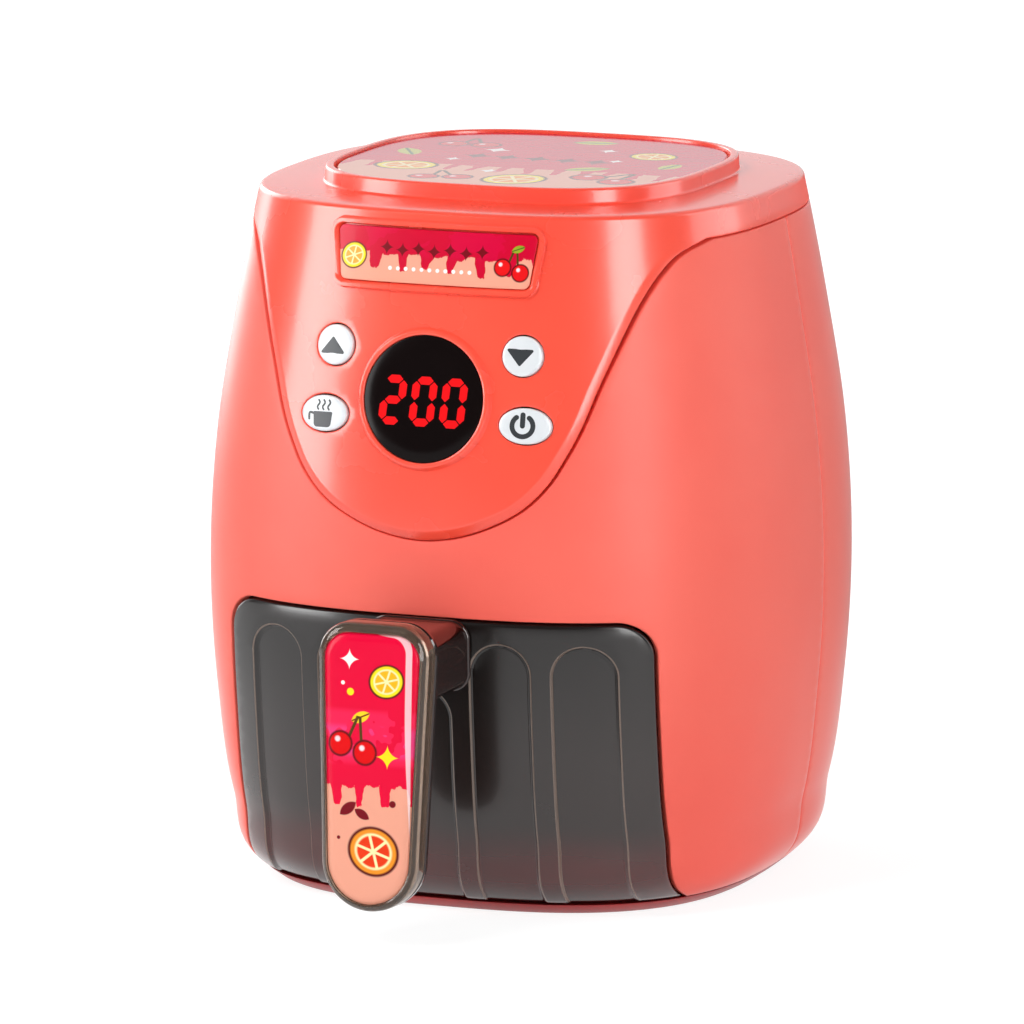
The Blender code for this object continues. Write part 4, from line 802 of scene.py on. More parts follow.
def coverRings():  # half width, squareness and height of each ring above the skirt, and of those under them
    s, side = coverSettings, barrel["shoulder"]
    square, power = barrel["squareness"], s["platformPower"]
    halfTop = float(halfWidthAt(skirtTop))
    radius, fillet, rounding, soft = s["shoulderRadius"], s["platformFillet"], s["platformEdge"], s["wellEdge"]
    foot, well = s["platformHalf"], s["platformHalf"] - s["rim"]
    deck, deckHalf, floor = side + s["deckRise"], halfTop - radius, s["top"] - s["labelRecess"]
    rings = [(halfTop - radius * (1 - cos(turn)), square, skirtTop + radius * sin(turn))
             for turn in np.linspace(0, pi / 2, 7)]
    for share in s["deckShares"]:
        half = deckHalf + (foot + fillet - deckHalf) * share
        rings.append((half, square + (power - square) * share, side + s["deckRise"] * share))
    for turn in np.linspace(0, pi / 2, 6):
        rings.append((foot + fillet * (1 - sin(turn)), power, deck + fillet * (1 - cos(turn))))
    for turn in np.linspace(0, pi / 2, 7):
        rings.append((foot - rounding * (1 - cos(turn)) - 0.0001, power, s["top"] - rounding * (1 - sin(turn))))
    for turn in np.linspace(0, pi / 2, 5):
        rings.append((well + soft * (1 - sin(turn)) - 0.0001, power, s["top"] - soft * (1 - cos(turn))))
    rings += [((well - gap) * share, power, floor) for share in (1, 0.75, 0.4, 0.12)]
    under = [(halfTop - wall, square, skirtTop), (halfTop - wall, square, side - wall), (well, power, side - wall)]
    return rings, under + [((well - wall) * share, power, floor - wall) for share in (1, 0.5, 0.12)]


def topCover():
    s = coverSettings
    tongue, lower, top, loop = coverLines()
    holes = [ovalLine(s["recess"], s["recess"], 160)]
    holes += [ovalLine(halfX + gap, halfUp + gap, 72, x, up) for x, up, halfX, halfUp in keys.values()]
    holes = [counterClockwise(panelToWall(*hole.T)) for hole in holes]
    flat, faces = spread([loop] + holes, s["lip"], coverMarks(tongue), s["step"])

    def openEdge(a, b):  # no rim where the rings go on or where the two ends meet
        return min(a[1], b[1]) > skirtTop - 1e-6 or abs(a[0] + b[0]) > 2 * backMiddle - 1e-6

    vertices, solid = walled(flat, faces, *coverFaces(flat, faces, tongue, lower, holes), -1, openEdge)
    angles = top[:-1, 0] / barrel["unroll"]
    count = len(angles)
    for profile, flip in zip(coverRings(), (False, True)):
        low = len(vertices)
        vertices = np.vstack([vertices] + [squareRing(angles, *row) for row in profile])
        for _ in profile[1:]:
            for i in range(count):
                j = (i + 1) % count
                face = (low + i, low + j, low + count + j, low + count + i)
                solid.append(face if flip else face[::-1])
            low += count
        cap = tuple(range(low, low + count))
        solid.append(cap if flip else cap[::-1])
    return addPiece("topCover", vertices, solid, merge=2e-5)


finishPiece(topCover(), "housing", "gloss_coral", glossCoral, "top_cover")
print("top cover done")


# Name plate and top label

def namePlate():
    p = plateSettings
    line = evenly(wallLine(plateLine(-p["border"] - gap / 2)), 0.0006, True)
    flat, faces = spread([line], p["cardLip"], [], coverSettings["step"])
    proud = proudAt(flat[:, 1])
    outer = onBarrel(*flat.T, proud + p["cardHalf"] - lipDepth(nearest(flat, line), p["cardLip"]))
    inner = onBarrel(*flat.T, proud - p["cardHalf"])
    return addPiece("namePlate", *walled(flat, faces, outer, inner))


labelSettings = {"clear": 0.0009, "rows": ((0, 0), (0, 0.0006), (0.0002, 0.0008), (0.01, 0.0008))}


def topLabel():
    s = coverSettings
    half, low = s["platformHalf"] - s["rim"] - labelSettings["clear"], s["top"] - s["labelRecess"] + gap
    angles = np.linspace(0, 2 * pi, 240, endpoint=False) + pi / 2
    rows = labelSettings["rows"]
    return raised("topLabel", [squareRing(angles, half - shrink, s["platformPower"], low + z) for shrink, z in rows])


class Print:  # a printed card: marks laid over one another, in millimetres from the card's middle
    def __init__(self, name, across, along, middle, base=(220, 0, 58), gloss=0.3):
        self.paint = Paint(name, Specular_IOR_Level=gloss)
        axes = self.paint.split(self.paint.place((1000, 1000, 1000)))
        self.u, self.v = axes[across], axes[along] - middle
        self.grain = self.paint.noise(160, 4, 0.62)
        self.cloud = self.paint.noise(85, 3, 0.55)
        self.colour = rgb(*base)

    def over(self, mask, tint):
        self.colour = self.paint.blend(mask, self.colour, rgb(*tint))

    def at(self, x, y, size, turn=0):
        c, k = cos(radians(turn)) / size, sin(radians(turn)) / size
        return (self.u - x) * c + (self.v - y) * k, (self.v - y) * c - (self.u - x) * k

    def disc(self, a, b, radius, soft=0.05):
        return (a * a + b * b).root().ease(radius + soft, radius - soft)

    def border(self, level, wave, tint):  # torn edge with a few long drips
        drips = (self.u * 0.9 + self.cloud * 6).sine().ease(0.1, 0.9) * wave
        height = self.v + (self.grain - 0.5) * 5 + drips
        self.over(height.ease(level + 0.12, level - 0.12), tint)

    def clouds(self, low, high, start, tint, share):  # paler patches between two heights
        band = self.v.ease(low - 2, low) * self.v.ease(high + 2, high)
        self.over(self.cloud.ease(start, start + 0.012) * band * share, tint)

    def slice(self, x, y, size, turn, rind, flesh):  # half-turned citrus slice
        a, b = self.at(x, y, size, turn)
        b = b * 1.12
        self.over(self.disc(a, b, 1.1), (92, 22, 20))
        self.over(self.disc(a, b, 0.98), rind)
        self.over(self.disc(a, b, 0.8), (255, 238, 176))
        pieces = self.disc(a, b, 0.7) * (1 - self.disc(a, b, 0.12, 0.03))
        for turn in (0, pi / 3, pi * 2 / 3):
            pieces = pieces * abs(a * sin(turn) - b * cos(turn)).ease(0.04, 0.08)
        self.over(pieces, flesh)

    def cherries(self, x, y, size, turn, tint, edge=(92, 10, 18)):
        a, b = self.at(x, y, size, turn)
        pair = ((-0.62, -0.45), (0.66, -0.6))
        for side, _ in pair:
            stalk = abs(a - side * 0.55 * (1 - (b + 0.2) * 0.7) - 0.05).ease(0.1, 0.05)
            self.over(stalk * b.ease(-0.5, -0.45) * b.ease(1.05, 1), (84, 60, 20))
        for side, height in pair:
            a2, b2 = a - side, b - height
            self.over(self.disc(a2, b2, 0.62), edge)
            self.over(self.disc(a2, b2, 0.52), tint)
            self.over(self.disc(a2 + 0.18, b2 - 0.18, 0.13), (255, 222, 226))

    def leaf(self, x, y, size, turn, tint, vein=(70, 96, 34)):
        a, b = self.at(x, y, size, turn)
        shape = self.disc(a, b - 0.75, 1.25) * self.disc(a, b + 0.75, 1.25)
        self.over(shape, tint)
        self.over(shape * abs(b).ease(0.1, 0.04), vein)

    def sparkle(self, x, y, size, tint):
        a, b = self.at(x, y, size)
        self.over((abs(a) ** 0.6 + abs(b) ** 0.6).ease(1.05, 0.95), tint)

    def dots(self, *places):
        for x, y, size, tint in places:
            self.over(self.disc(*self.at(x, y, size), 1, 0.12), tint)

    def finish(self, roughness, coat=0.0, coatRoughness=0.03):
        fine = self.paint.noise(1500, 2)
        self.paint.feed("Base Color", self.colour).feed("Roughness", fine * 0.06 + roughness)
        self.paint.feed("Coat Weight", self.grain * 0.1 + coat).feed("Coat Roughness", coatRoughness)
        self.paint.bump(fine, 0.04, 0.0001)
        return self.paint.material


yellow, orange, wine, white = (255, 226, 30), (250, 150, 40), (120, 8, 24), (250, 244, 240)
peach, rose, pink = (240, 166, 141), (246, 34, 84), (234, 64, 132)

plateMiddle = 1000 * (plateSettings["foot"] + plateSettings["top"]) / 2
plate = Print("plate_card", 0, 2, plateMiddle, (206, 0, 48), 0.15)
plate.clouds(1, 8, 0.52, (214, 0, 62), 0.8)
plate.border(0.2, 4, peach)
plate.slice(-21.5, -0.6, 3.3, 20, yellow, (250, 170, 60))
plate.cherries(20.4, -0.2, 3.6, -8, (232, 20, 24))
plate.leaf(21.6, 3.0, 1.7, 20, (150, 170, 40))
for place in range(7):
    plate.sparkle(-12.6 + 4.2 * place, 1.9 - (place % 2) * 0.5, 1.9, wine)
plate.dots(*[(-11.4 + 2.1 * place, -3.1, 0.5, white) for place in range(11)])
plateCard = plate.finish(0.3)

lid = Print("label_card_top", 0, 1, 0)
lid.clouds(-4, 34, 0.5, (214, 0, 62), 0.8)
lid.border(-13, 9, peach)
for x, y, size, turn in ((-27, -18, 7.5, 10), (26, 17, 6, -30), (7, -31, 8, 60)):
    lid.slice(x, y, size, turn, yellow, orange)
for x, y, size, turn in ((-13, -30, 5.5, 20), (29, -20, 6.5, -20), (-26, 24, 5.5, 12)):
    lid.cherries(x, y, size * 1.2, turn, (226, 30, 34))
for x, y, size, turn in ((18, -9, 6, 35), (-35, 4, 6, -60), (4, 34, 6, 10), (36, 2, 5, 80)):
    lid.leaf(x, y, size, turn, (196, 190, 60))
for x, y, size in ((-15, 14, 4), (12, 22, 3), (20, 6, 2.5), (-4, -20, 3), (-20, -4, 2.5)):
    lid.sparkle(x, y, size, white)
for place in range(5):
    lid.sparkle(-16 + 8 * place, 3, 4.5, wine)
topCard = lid.finish(0.08)

grip = Print("label_card_handle", 0, 2, 45, (232, 0, 56), 0.1)
grip.clouds(2, 13, 0.5, rose, 0.9)
grip.clouds(4, 9, 0.56, pink, 0.8)
grip.border(-4.5, 5, peach)
grip.slice(4.2, 21.5, 4.3, 15, yellow, (250, 186, 30))
grip.sparkle(-5.6, 26.5, 2.6, white)
grip.dots((-5.2, 18.5, 0.9, yellow), (-7.2, 20.6, 0.5, white))
grip.leaf(-2.4, 12.4, 2.6, 24, (250, 214, 40), wine)
grip.cherries(-4.0, 7.4, 5.2, -10, (226, 4, 10))
grip.sparkle(4.8, 3.0, 3.0, yellow)
grip.leaf(-5.3, -10.2, 2.6, 38, wine, wine)
grip.leaf(-1.6, -11.4, 2.2, -30, wine, wine)
grip.dots((6.4, -8.4, 0.85, wine), (-7.6, -17.5, 0.45, wine))
grip.slice(1.6, -20.4, 6.2, -18, orange, (235, 60, 20))
beside, beyond = abs(grip.u) - 5.2, abs(grip.v - 0.4) - 28.0  # painted highlight: a pale gleam just inside the card's edge, like a reflection on a domed cover
reach = (beside.high(0) ** 2 + beyond.high(0) ** 2).root() + beside.high(beyond).low(0) - 7.2
broad = grip.v.ease(-24, 16) * grip.u.ease(-7, 6) * 1.7
gleam = (reach + broad).ease(-1.65, -1.45) * reach.ease(-1.5, -1.7) * broad.ease(0, 0.3)
grip.over(gleam * 0.62, (255, 238, 242))
handleCard = grip.finish(0.28, 0.04)
finishPiece(namePlate(), "housing", "plate_card", plateCard, "name_plate")
finishPiece(topLabel(), "housing", "label_card", topCard, "top_label")
print("labels done")


# Display

displaySettings = {
    "lens": 0.01555, "front": -0.0006, "back": 0.0006, "edge": 0.0002, "bevel": 0.00006,
    "height": 0.0123, "width": 0.0066, "pitch": 0.0080, "stroke": 0.002, "cut": 0.0002, "corner": 0.00016,
    "slant": radians(4), "drop": 0.0006, "sunk": 0.0002, "proud": 0.00003,
}
barEnds = {  # each bar's two ends, in half widths and half heights of a digit
    "a": (-1, 1, 1, 1), "b": (1, 1, 1, 0), "c": (1, 0, 1, -1), "d": (-1, -1, 1, -1),
    "e": (-1, 0, -1, -1), "f": (-1, 1, -1, 0), "g": (-1, 0, 1, 0),
}


def lens():
    s = displaySettings
    front, edge, bevel = s["front"], s["edge"], s["bevel"]
    rings = []
    rows = ((0, s["back"]), (0, front + edge), (bevel, front + bevel), (edge, front), (0.004, front))
    for shrink, depth in rows:
        line = ovalLine(s["lens"] - shrink, s["lens"] - shrink, 128)
        rings.append(fromPanel(line[:, 0], depth, line[:, 1]))
    return raised("displayLens", rings)


def digitBar(start, end, middle):
    s = displaySettings
    run = (end - start).normalized()
    side = Vector((-run.y, run.x)) * s["stroke"] / 2
    point = run * s["stroke"] / 2
    start, end = start + run * s["cut"], end - run * s["cut"]
    near, far = start + point, end - point
    corners = [start, near - side, far - side, end, far + side, near + side]
    line = roundCorners([tuple(corner) for corner in corners], s["corner"], 3)
    x = middle + line[:, 0] + line[:, 1] * sin(s["slant"])
    rings = [fromPanel(x, s["front"] + depth, line[:, 1] - s["drop"]) for depth in (s["sunk"], -s["proud"])]
    return raised("digitBar", rings)


def digits(text):
    s = displaySettings
    halfX, halfZ = (s["width"] - s["stroke"]) / 2, (s["height"] - s["stroke"]) / 2
    bars = []
    for place, digit in enumerate(text):
        middle = (place - (len(text) - 1) / 2) * s["pitch"]
        for bar in {"0": "abcdef", "2": "abged"}[digit]:
            x1, z1, x2, z2 = barEnds[bar]
            bars.append(digitBar(Vector((x1 * halfX, z1 * halfZ)), Vector((x2 * halfX, z2 * halfZ)), middle))
    whole = joined(*bars)
    whole.name = whole.data.name = "digits"
    return whole


lensBlack = Paint("lens_black", Roughness=0.16, Specular_IOR_Level=0.1)
lensBlack.feed("Base Color", lensBlack.blend(lensBlack.noise(60), rgb(15, 9, 9), rgb(19, 12, 12)))
glow = Paint("digit_glow", Base_Color=rgb(40, 0, 2), Roughness=0.6, Specular_IOR_Level=0.1, Emission_Strength=1)
glow.feed("Emission Color", glow.blend(glow.noise(400), rgb(255, 0, 10), rgb(252, 4, 14)))
finishPiece(lens(), "housing", "display_black", lensBlack.material, "display_lens")
finishPiece(digits("200"), "housing", "display_red", glow.material, "display_digits")
print("display done")


# Buttons: a crowned cap with its symbol laid in the top

capSettings = {
    "proud": 0.0009, "crown": 0.0004, "crownShare": 0.8, "depth": 0.0034, "inkLift": 0.00004,
    "shares": (0.04, 0.3, 0.55, 0.75, 0.82, 0.88, 0.93, 0.97, 0.99, 1),
}


def capRise(share):
    s = capSettings
    down = np.clip((share - s["crownShare"]) / (1 - s["crownShare"]), 0, 1)
    return s["proud"] - s["crown"] * (1 - np.sqrt(1 - down ** 2))


def cap(name):
    x, up, halfX, halfUp = keys[name]
    rings = []
    for share in capSettings["shares"]:
        u, v = ovalLine(halfX * share, halfUp * share, 72, x, up).T
        rings.append(fromPanel(u, panelDepth(u, v) - capRise(share), v))
    rings.append(fromPanel(u, capSettings["depth"], v))
    return raised("cap_" + name, rings)


def roundEnd(centre, start, steps=8):  # half a circle on from a stroke's side
    x, up = start - centre
    turns = np.linspace(0, pi, steps + 2)[1:-1]
    return centre + np.stack([x * np.cos(turns) - up * np.sin(turns), x * np.sin(turns) + up * np.cos(turns)], -1)


def strokeLine(points, width):  # outline of a pen stroke with round ends
    points = np.asarray(points, float)
    left, right = openOffset(points, width / 2), openOffset(points, -width / 2)[::-1]
    return np.vstack([left, roundEnd(points[-1], left[-1]), right, roundEnd(points[0], right[-1])])


def arcLine(radius, start, end, count):
    turns = np.radians(np.linspace(start, end, count))
    return np.stack([radius * np.cos(turns), radius * np.sin(turns)], -1)


symbolPlaces = {  # how far the symbol sits from the middle of its cap
    "up": (-0.0005, -0.0004), "down": (-0.0004, -0.0001), "steam": (-0.0003, 0), "power": (-0.00045, 0),
}


def symbolLoops(name):  # in millimetres
    if name in ("up", "down"):
        flip = 1 if name == "up" else -1
        return [roundCorners([(-3.6, -1.85), (3.6, -1.85), (0, 2.5)], 0.35, 6) * [1, flip]]
    if name == "power":
        return [strokeLine(arcLine(2.58, 127, 413, 60), 1.2), strokeLine([(0, 2.75), (0, 1.2), (0, 0.05)], 1.25)]
    cup = roundCorners([(-2.4, -3.5), (2.3, -3.5), (2.75, 0.35), (-2.7, 0.35)], [1, 1, 0.35, 0.35], 6)
    ear = smoothLine([(-2.6, -0.15), (-3.4, 0.0), (-3.75, -0.1), (-3.85, -0.6), (-3.8, -1.6)])
    loops = [cup, strokeLine(evenly(ear, 0.25), 0.62)]
    for x in (-1.3, 0.2, 1.7):  # steam
        loops.append(strokeLine([(x - 0.3 * sin(t * 1.5), 0.85 + t * 0.55) for t in np.linspace(0, 4.2, 14)], 0.5))
    return loops


def symbol(name):
    x, up, halfX, halfUp = keys[name]
    vertices, solid, start = [], [], 0
    for loop in symbolLoops(name):
        flat, faces = spread([counterClockwise(loop * 0.001)], 0, [], 0.0007)
        flat = flat + symbolPlaces[name]
        share = np.hypot(flat[:, 0] / halfX, flat[:, 1] / halfUp)
        u, v = (flat + [x, up]).T
        depth = panelDepth(u, v) - capRise(share)
        outer, inner = [fromPanel(u, depth + side * capSettings["inkLift"], v) for side in (-1, 1)]
        points, some = walled(flat, faces, outer, inner)
        solid += [tuple(start + i for i in face) for face in some]
        vertices.append(points)
        start += len(points)
    return addPiece("symbol_" + name, np.vstack(vertices), solid, merge=1e-7, sharp=30)


for key in keys:
    finishPiece(cap(key), "key_" + key, "button_white", capWhite, "button_" + key)
    finishPiece(symbol(key), "key_" + key, "button_white", ink)
print("buttons done")


# Drawer front: a smoked panel with five sunk flutes

fluteSettings = {
    "half": 0.00775, "pitch": 0.2675 * barrel["halfWidth"], "drop": 0.006, "middleTop": 0.0587,
    "depth": 0.001, "soft": 0.0008, "start": -0.0001,
    "marks": (0.0004, 0.0001, -0.0001, -0.0003, -0.0005, -0.0007, -0.0009, -0.0013),
}


def fluteLines(grow=0):  # arches that run down past the drawer's foot
    s = fluteSettings
    lines = []
    for place in range(-2, 3):
        top = drawer["top"] - s["drop"] if place else s["middleTop"]
        half = s["half"] + grow
        arch = ovalLine(half, half, 96)[:49] + [0, top - s["half"]]
        lines.append(np.vstack([[(half, -0.02)], arch, [(-half, -0.02)]]) + [place * s["pitch"], 0])
    return lines


def smoke():  # smoked plastic: a reddish band near the foot, painted shade towards the top, and a painted highlight along the flutes' edges
    s = fluteSettings
    paint = skinned(Paint("smoke", Coat_Roughness=0.12), 0.26, 0.5)
    x, y, z = paint.split(paint.place())
    height = z + paint.noise(24, 3) * 0.008 - 0.004
    # a reddish band near the foot
    reddishBand = height.ease(0.026, 0.012) * height.ease(0.001, 0.010)
    # painted shade: the colour darkens towards the top, where the shell's overhang shades the drawer front
    colour = paint.blend(height.ease(0.03, 0.072), rgb(34, 22, 19), rgb(18, 11, 9))
    colour = paint.blend(reddishBand, colour, rgb(72, 16, 14))
    middle = (x / s["pitch"]).rounded().low(2).high(-2) * s["pitch"]
    sideTop = drawer["top"] - s["drop"]
    top = sideTop - (sideTop - s["middleTop"]) * (abs(middle) < 0.001)
    fromEdge = abs(((x - middle) ** 2 + (z - top + s["half"]).high(0) ** 2).root() - s["half"])
    # painted highlight: a pale line along each flute's edge, where its rounding would catch the lamps
    colour = paint.blend(fromEdge.ease(0.0003, 0.00012) * (y < 0) * 0.5, colour, rgb(150, 128, 114))
    paint.feed("Base Color", colour)
    return paint.feed("Coat Weight", 0.5 - 0.28 * height.ease(0.04, 0.076)).material


def drawerFront():
    s, d = fluteSettings, drawer
    gapIn, lip = d["gap"], d["lip"]
    line = archLine(d["halfWidth"] - gapIn, d["top"] - gapIn, d["corner"] - gapIn, d["foot"])
    foot = evenly([line[-1], line[0]], 0.001)[1:-1]
    loop = evenly(wallLine(np.vstack([line, foot])), d["edgeStep"], True)[::-1]
    marks = []
    for grow in s["marks"]:
        for arch in fluteLines(grow):
            arch = evenly(arch, 0.0007)
            marks.append(wallLine(arch[arch[:, 1] > d["foot"]]))
    flat, faces = spread([loop], lip, marks, d["step"])
    lift = -lipDepth(nearest(flat, loop), lip)
    view = onBarrel(*flat.T)[:, [0, 2]]
    for arch in fluteLines():
        near = np.abs(view[:, 0] - arch[:, 0].mean()) < s["half"] + 0.001
        lift[near] -= s["depth"] * stepUp(within(view[near], arch), s["start"], s["soft"])
    return addPiece("drawerFront", *walled(flat, faces, onBarrel(*flat.T, lift), onBarrel(*flat.T, -wall)))


finishPiece(drawerFront(), "drawer", "smoke", smoke(), "drawer_front")
print("drawer front done")


# Handle: a clear front over the printed card, and a smoked back in one piece with its neck

handleSettings = {
    "reach": 0.112, "foot": 0.0094, "lean": radians(3.3), "length": 0.0711,
    "half": 0.0144, "footHalf": 0.0126, "corner": 0.0082,
    "front": 0.0066, "depth": 0.0094, "side": 0.0011, "window": 0.0018, "drop": 0.0006,
    "dome": 0.003, "domeTilts": (46, 42, 36, 30, 24, 18, 12, 6, 0), "labelDepth": 0.0016,
    "neckHalf": 0.0129, "neckTop": drawer["top"] - 0.0006, "neckFoot": drawer["top"] - 0.0177, "neckCorner": 0.0045,
    "flange": ((0, -0.003), (0, -0.0016), (0.0002, -0.0013), (0.0004, -0.0012),  # growth, and from the wall
               (0.0005, -0.001), (0.0005, -0.0006), (0.0002, -gap)),
}
handleLean = Matrix.Rotation(-handleSettings["lean"], 4, "X")
handleFrame = Matrix.Translation((0, -handleSettings["reach"], handleSettings["foot"])) @ handleLean


def handleRing(shrink, depth, drop=0):
    s = handleSettings
    foot, corner = s["footHalf"], s["corner"]
    across, up = s["half"] - corner, s["length"] - drop - corner
    bend = ovalLine(corner, corner, 64)
    arcs = [ovalLine(foot, foot, 72)[36:] + [0, foot], [(foot, foot)]]
    arcs += [bend[:17] + [across, up], bend[16:33] + [-across, up]]
    line = inset(evenly(np.vstack(arcs), 0.0009, True), shrink)
    return [handleFrame @ Vector((x, depth, z)) for x, z in line]


def handleShell():  # from the window's inner edge round the front and the side to the hollow back
    s = handleSettings
    window, drop, front = s["window"], s["drop"], s["front"]
    rows = [(window + 0.001, 0.0017, drop), (window, 0.0017, drop), (window, 0.0005, drop)]
    rows += [(window - 0.00015, 0.0003, drop), (window - 0.0004, 0.00022, drop), (0.0013, 0.00035, drop / 2)]
    rows += [(0.0008, 0.0007), (0.0004, 0.0012), (0.0001, 0.0019), (0, 0.0026), (0, front - 0.0004)]
    rows += [(0.0003, front), (s["side"], front), (s["side"], 0.0024)]
    return raised("handleShell", [handleRing(*row) for row in rows])


def handleLabel():
    s = handleSettings
    edge, tilts = s["window"] + 0.00012, np.radians(s["domeTilts"])
    rows = [(edge, s["labelDepth"])]
    for tilt in tilts:
        rows.append((edge + s["dome"] * (sin(tilts[0]) - sin(tilt)), 0.0001 + s["dome"] * (1 - cos(tilt))))
    return raised("handleLabel", [handleRing(*row, s["drop"]) for row in rows], sharp=60)


def handleBack():
    s = handleSettings
    start, depth = s["front"] + gap, s["depth"]
    rows = ((0.0005, start), (0, start + 0.0005), (0, depth - 0.0009), (0.0003, depth - 0.0003), (0.0011, depth))
    plate = raised("handleBack", [handleRing(*row) for row in rows])
    middle, high = (s["neckTop"] + s["neckFoot"]) / 2, (s["neckTop"] - s["neckFoot"]) / 2
    outline = evenly(boxLine(s["neckHalf"], -high, high, s["neckCorner"], 16), 0.0008, True)
    inPlate = -s["reach"] + (start + depth) / 2 + (middle - s["foot"]) * sin(s["lean"])
    x, z = (outline + [0, middle]).T
    rings = [np.stack([x, np.full(len(x), y), z], -1) for y in (inPlate, inPlate + (depth - start) / 2 + 0.002)]
    for grow, offset in s["flange"]:
        x, z = (inset(outline, -grow) + [0, middle]).T
        rings.append(np.stack([x, offset - wallDepth(x, z), z], -1))
    return combine(plate, raised("neck", rings), "UNION")


def clearSmoke(paint, colour, second, roughness):  # see-through, with faint clouds
    paint.feed("Base Color", paint.blend(paint.noise(120, 3), rgb(*colour), rgb(*second)))
    return paint.feed("Roughness", paint.noise(40) * 0.04 + roughness).material


smokeClear = Paint("smoke_clear", Transmission_Weight=0.88, IOR=1.46)
smokeClear = clearSmoke(smokeClear, (176, 152, 132), (168, 144, 126), 0.03)
smokeBack = Paint("smoke_back", Transmission_Weight=0.3, IOR=1.5, Coat_Weight=0.3)
smokeBack = clearSmoke(smokeBack, (46, 20, 16), (41, 18, 14), 0.06)
finishPiece(handleShell(), "drawer", "clear", smokeClear, "handle_shell")
finishPiece(handleLabel(), "drawer", "label_card", handleCard, "handle_label")
finishPiece(handleBack(), "drawer", "clear", smokeBack, "handle_back")
print("handle done")


# Rear shell: the battery door's opening, the speaker's slots and the bores for the long screws

rearSettings = {
    "lip": 0.00035, "step": 0.0022, "edgeStep": 0.001, "behindWall": 0.0001,
    "boreX": 0.0605, "boreLow": 0.1367 * barrel["shoulder"], "boreHigh": 0.7975 * barrel["shoulder"],
    "bore": 0.0032, "tower": 0.0043, "towerFloor": 0.01715,
    "grilleHeight": 0.25 * barrel["shoulder"], "grillePitch": 0.0032, "grilleRadius": 0.0085,
    "grilleHalf": 0.0007, "grilleSlots": 5,
    "bayHalf": 0.02785, "bayLow": 0.0856, "bayHigh": 0.1311, "bayCorner": 0.0006, "sleeve": 0.0034, "rim": 0.0648,
}
doorSettings = {
    "half": 0.02945, "low": 0.0840, "high": 0.1327, "corner": 0.0016, "ear": 0.004, "earHeight": 0.1334,
    "gap": 0.0004, "thickness": 0.002, "hole": 0.0029, "lip": 0.0004, "step": 0.0018,
    "ribs": 6, "ribLow": 0.1085, "ribPitch": 0.0028, "ribHalf": 0.011, "ribDepth": 0.0007, "ribCore": 0.0001,
    "ribMarks": (-0.0009, -0.0006, -0.0003, 0, 0.0003, 0.0006, 0.0009), "ribMarkHalf": 0.0125,
    "hookX": 0.015, "hookHalf": 0.003,
    "hook": ((0.0002, 0.0004), (0.0002, 0.003), (-0.0028, 0.003),  # from the door's inner face, and from its foot
             (-0.0028, -0.0012), (-0.0014, -0.0012), (-0.0014, 0.0004)),
}


def doorLine(grow=0):
    s = doorSettings
    half, low, high, ear = s["half"] + grow, s["low"] - grow, s["high"] + grow, s["ear"] + grow
    start = np.arcsin((high - s["earHeight"]) / ear)
    turns = np.linspace(start, pi - start, 28)
    lobe = np.stack([ear * np.cos(turns), s["earHeight"] + ear * np.sin(turns)], -1)
    corners = [(-half, low), (half, low), (half, high)] + [tuple(point) for point in lobe] + [(-half, high)]
    radius = s["corner"] + grow
    return evenly(roundCorners(corners, [radius, radius, radius] + [0] * len(lobe) + [radius], 6), 0.0007, True)


def towers():
    s = rearSettings
    return [(side * s["boreX"], z) for side in (-1, 1) for z in (s["boreLow"], s["boreHigh"])]


def backRing(line, y=None):  # at one depth, or just inside the wall
    x, z = line.T
    if y is None:
        y = wallDepth(x, z, -wall - rearSettings["behindWall"])
    return np.stack([x, np.broadcast_to(y, len(x)), z], -1)


def tower(x, z):  # a tube inside the shell that a long screw goes in
    s = rearSettings
    wide, bore = ovalLine(s["tower"], s["tower"], 40, x, z), ovalLine(s["bore"], s["bore"], 40, x, z)
    rings = [backRing(wide, seamDepth + gap / 2), backRing(wide), backRing(bore), backRing(bore, s["towerFloor"])]
    return raised("tower", rings)


def grilleSlots():
    s = rearSettings
    slots = []
    for i in range(s["grilleSlots"]):
        up = (i - (s["grilleSlots"] - 1) / 2) * s["grillePitch"]
        half, high = (s["grilleRadius"] ** 2 - up ** 2) ** 0.5, s["grilleHalf"]
        slot = evenly(boxLine(half, up - high, up + high, high * 0.98, 6), 0.0005, True)
        slots.append(wallLine(slot + [0, s["grilleHeight"]]))
    return slots


def sleeve():  # carries the door's edge and reaches in to the battery box
    s = rearSettings
    half, low, high, grow = s["bayHalf"], s["bayLow"], s["bayHigh"], s["sleeve"]
    bay = boxLine(half, low, high, s["bayCorner"], 4)
    around = boxLine(half + grow, low - grow, high + grow, grow, 8)
    flat, faces = spread([evenly(line, 0.001, True) for line in (around, bay)], 0, [], 0.0012)
    return addPiece("sleeve", *walled(flat, faces, backRing(flat), backRing(flat, s["rim"]), 1))


def rearShell():
    s = rearSettings
    right = seamLine(1, s["edgeStep"])
    foot = evenly([right[0] * [-1, 1], right[0]], s["edgeStep"])
    top = evenly([right[-1], right[-1] * [-1, 1]], s["edgeStep"])
    loop = joinLines(foot, right, top, mirrored(right))
    bores = [wallLine(ovalLine(s["bore"], s["bore"], 40, x, z)) for x, z in towers()]
    holes = [wallLine(doorLine(doorSettings["gap"]))] + bores + grilleSlots()
    flat, faces = spread([loop] + holes, s["lip"], [], s["step"])
    toRim = np.min([nearest(flat, line) for line in [loop] + holes], 0)
    outer = onBarrel(*flat.T, -lipDepth(toRim, s["lip"]), 1)
    inner = onBarrel(*flat.T, -wall, 1)
    onBore = np.min([nearest(flat, bore) for bore in bores], 0) < 1e-4  # the bores run straight in
    x, _, z = outer[onBore].T
    inner[onBore] = np.stack([x, wallDepth(x, z, -wall), z], -1)
    shell = addPiece("rearShell", *walled(flat, faces, outer, inner, 1))
    return joined(shell, sleeve(), *[tower(x, z) for x, z in towers()])


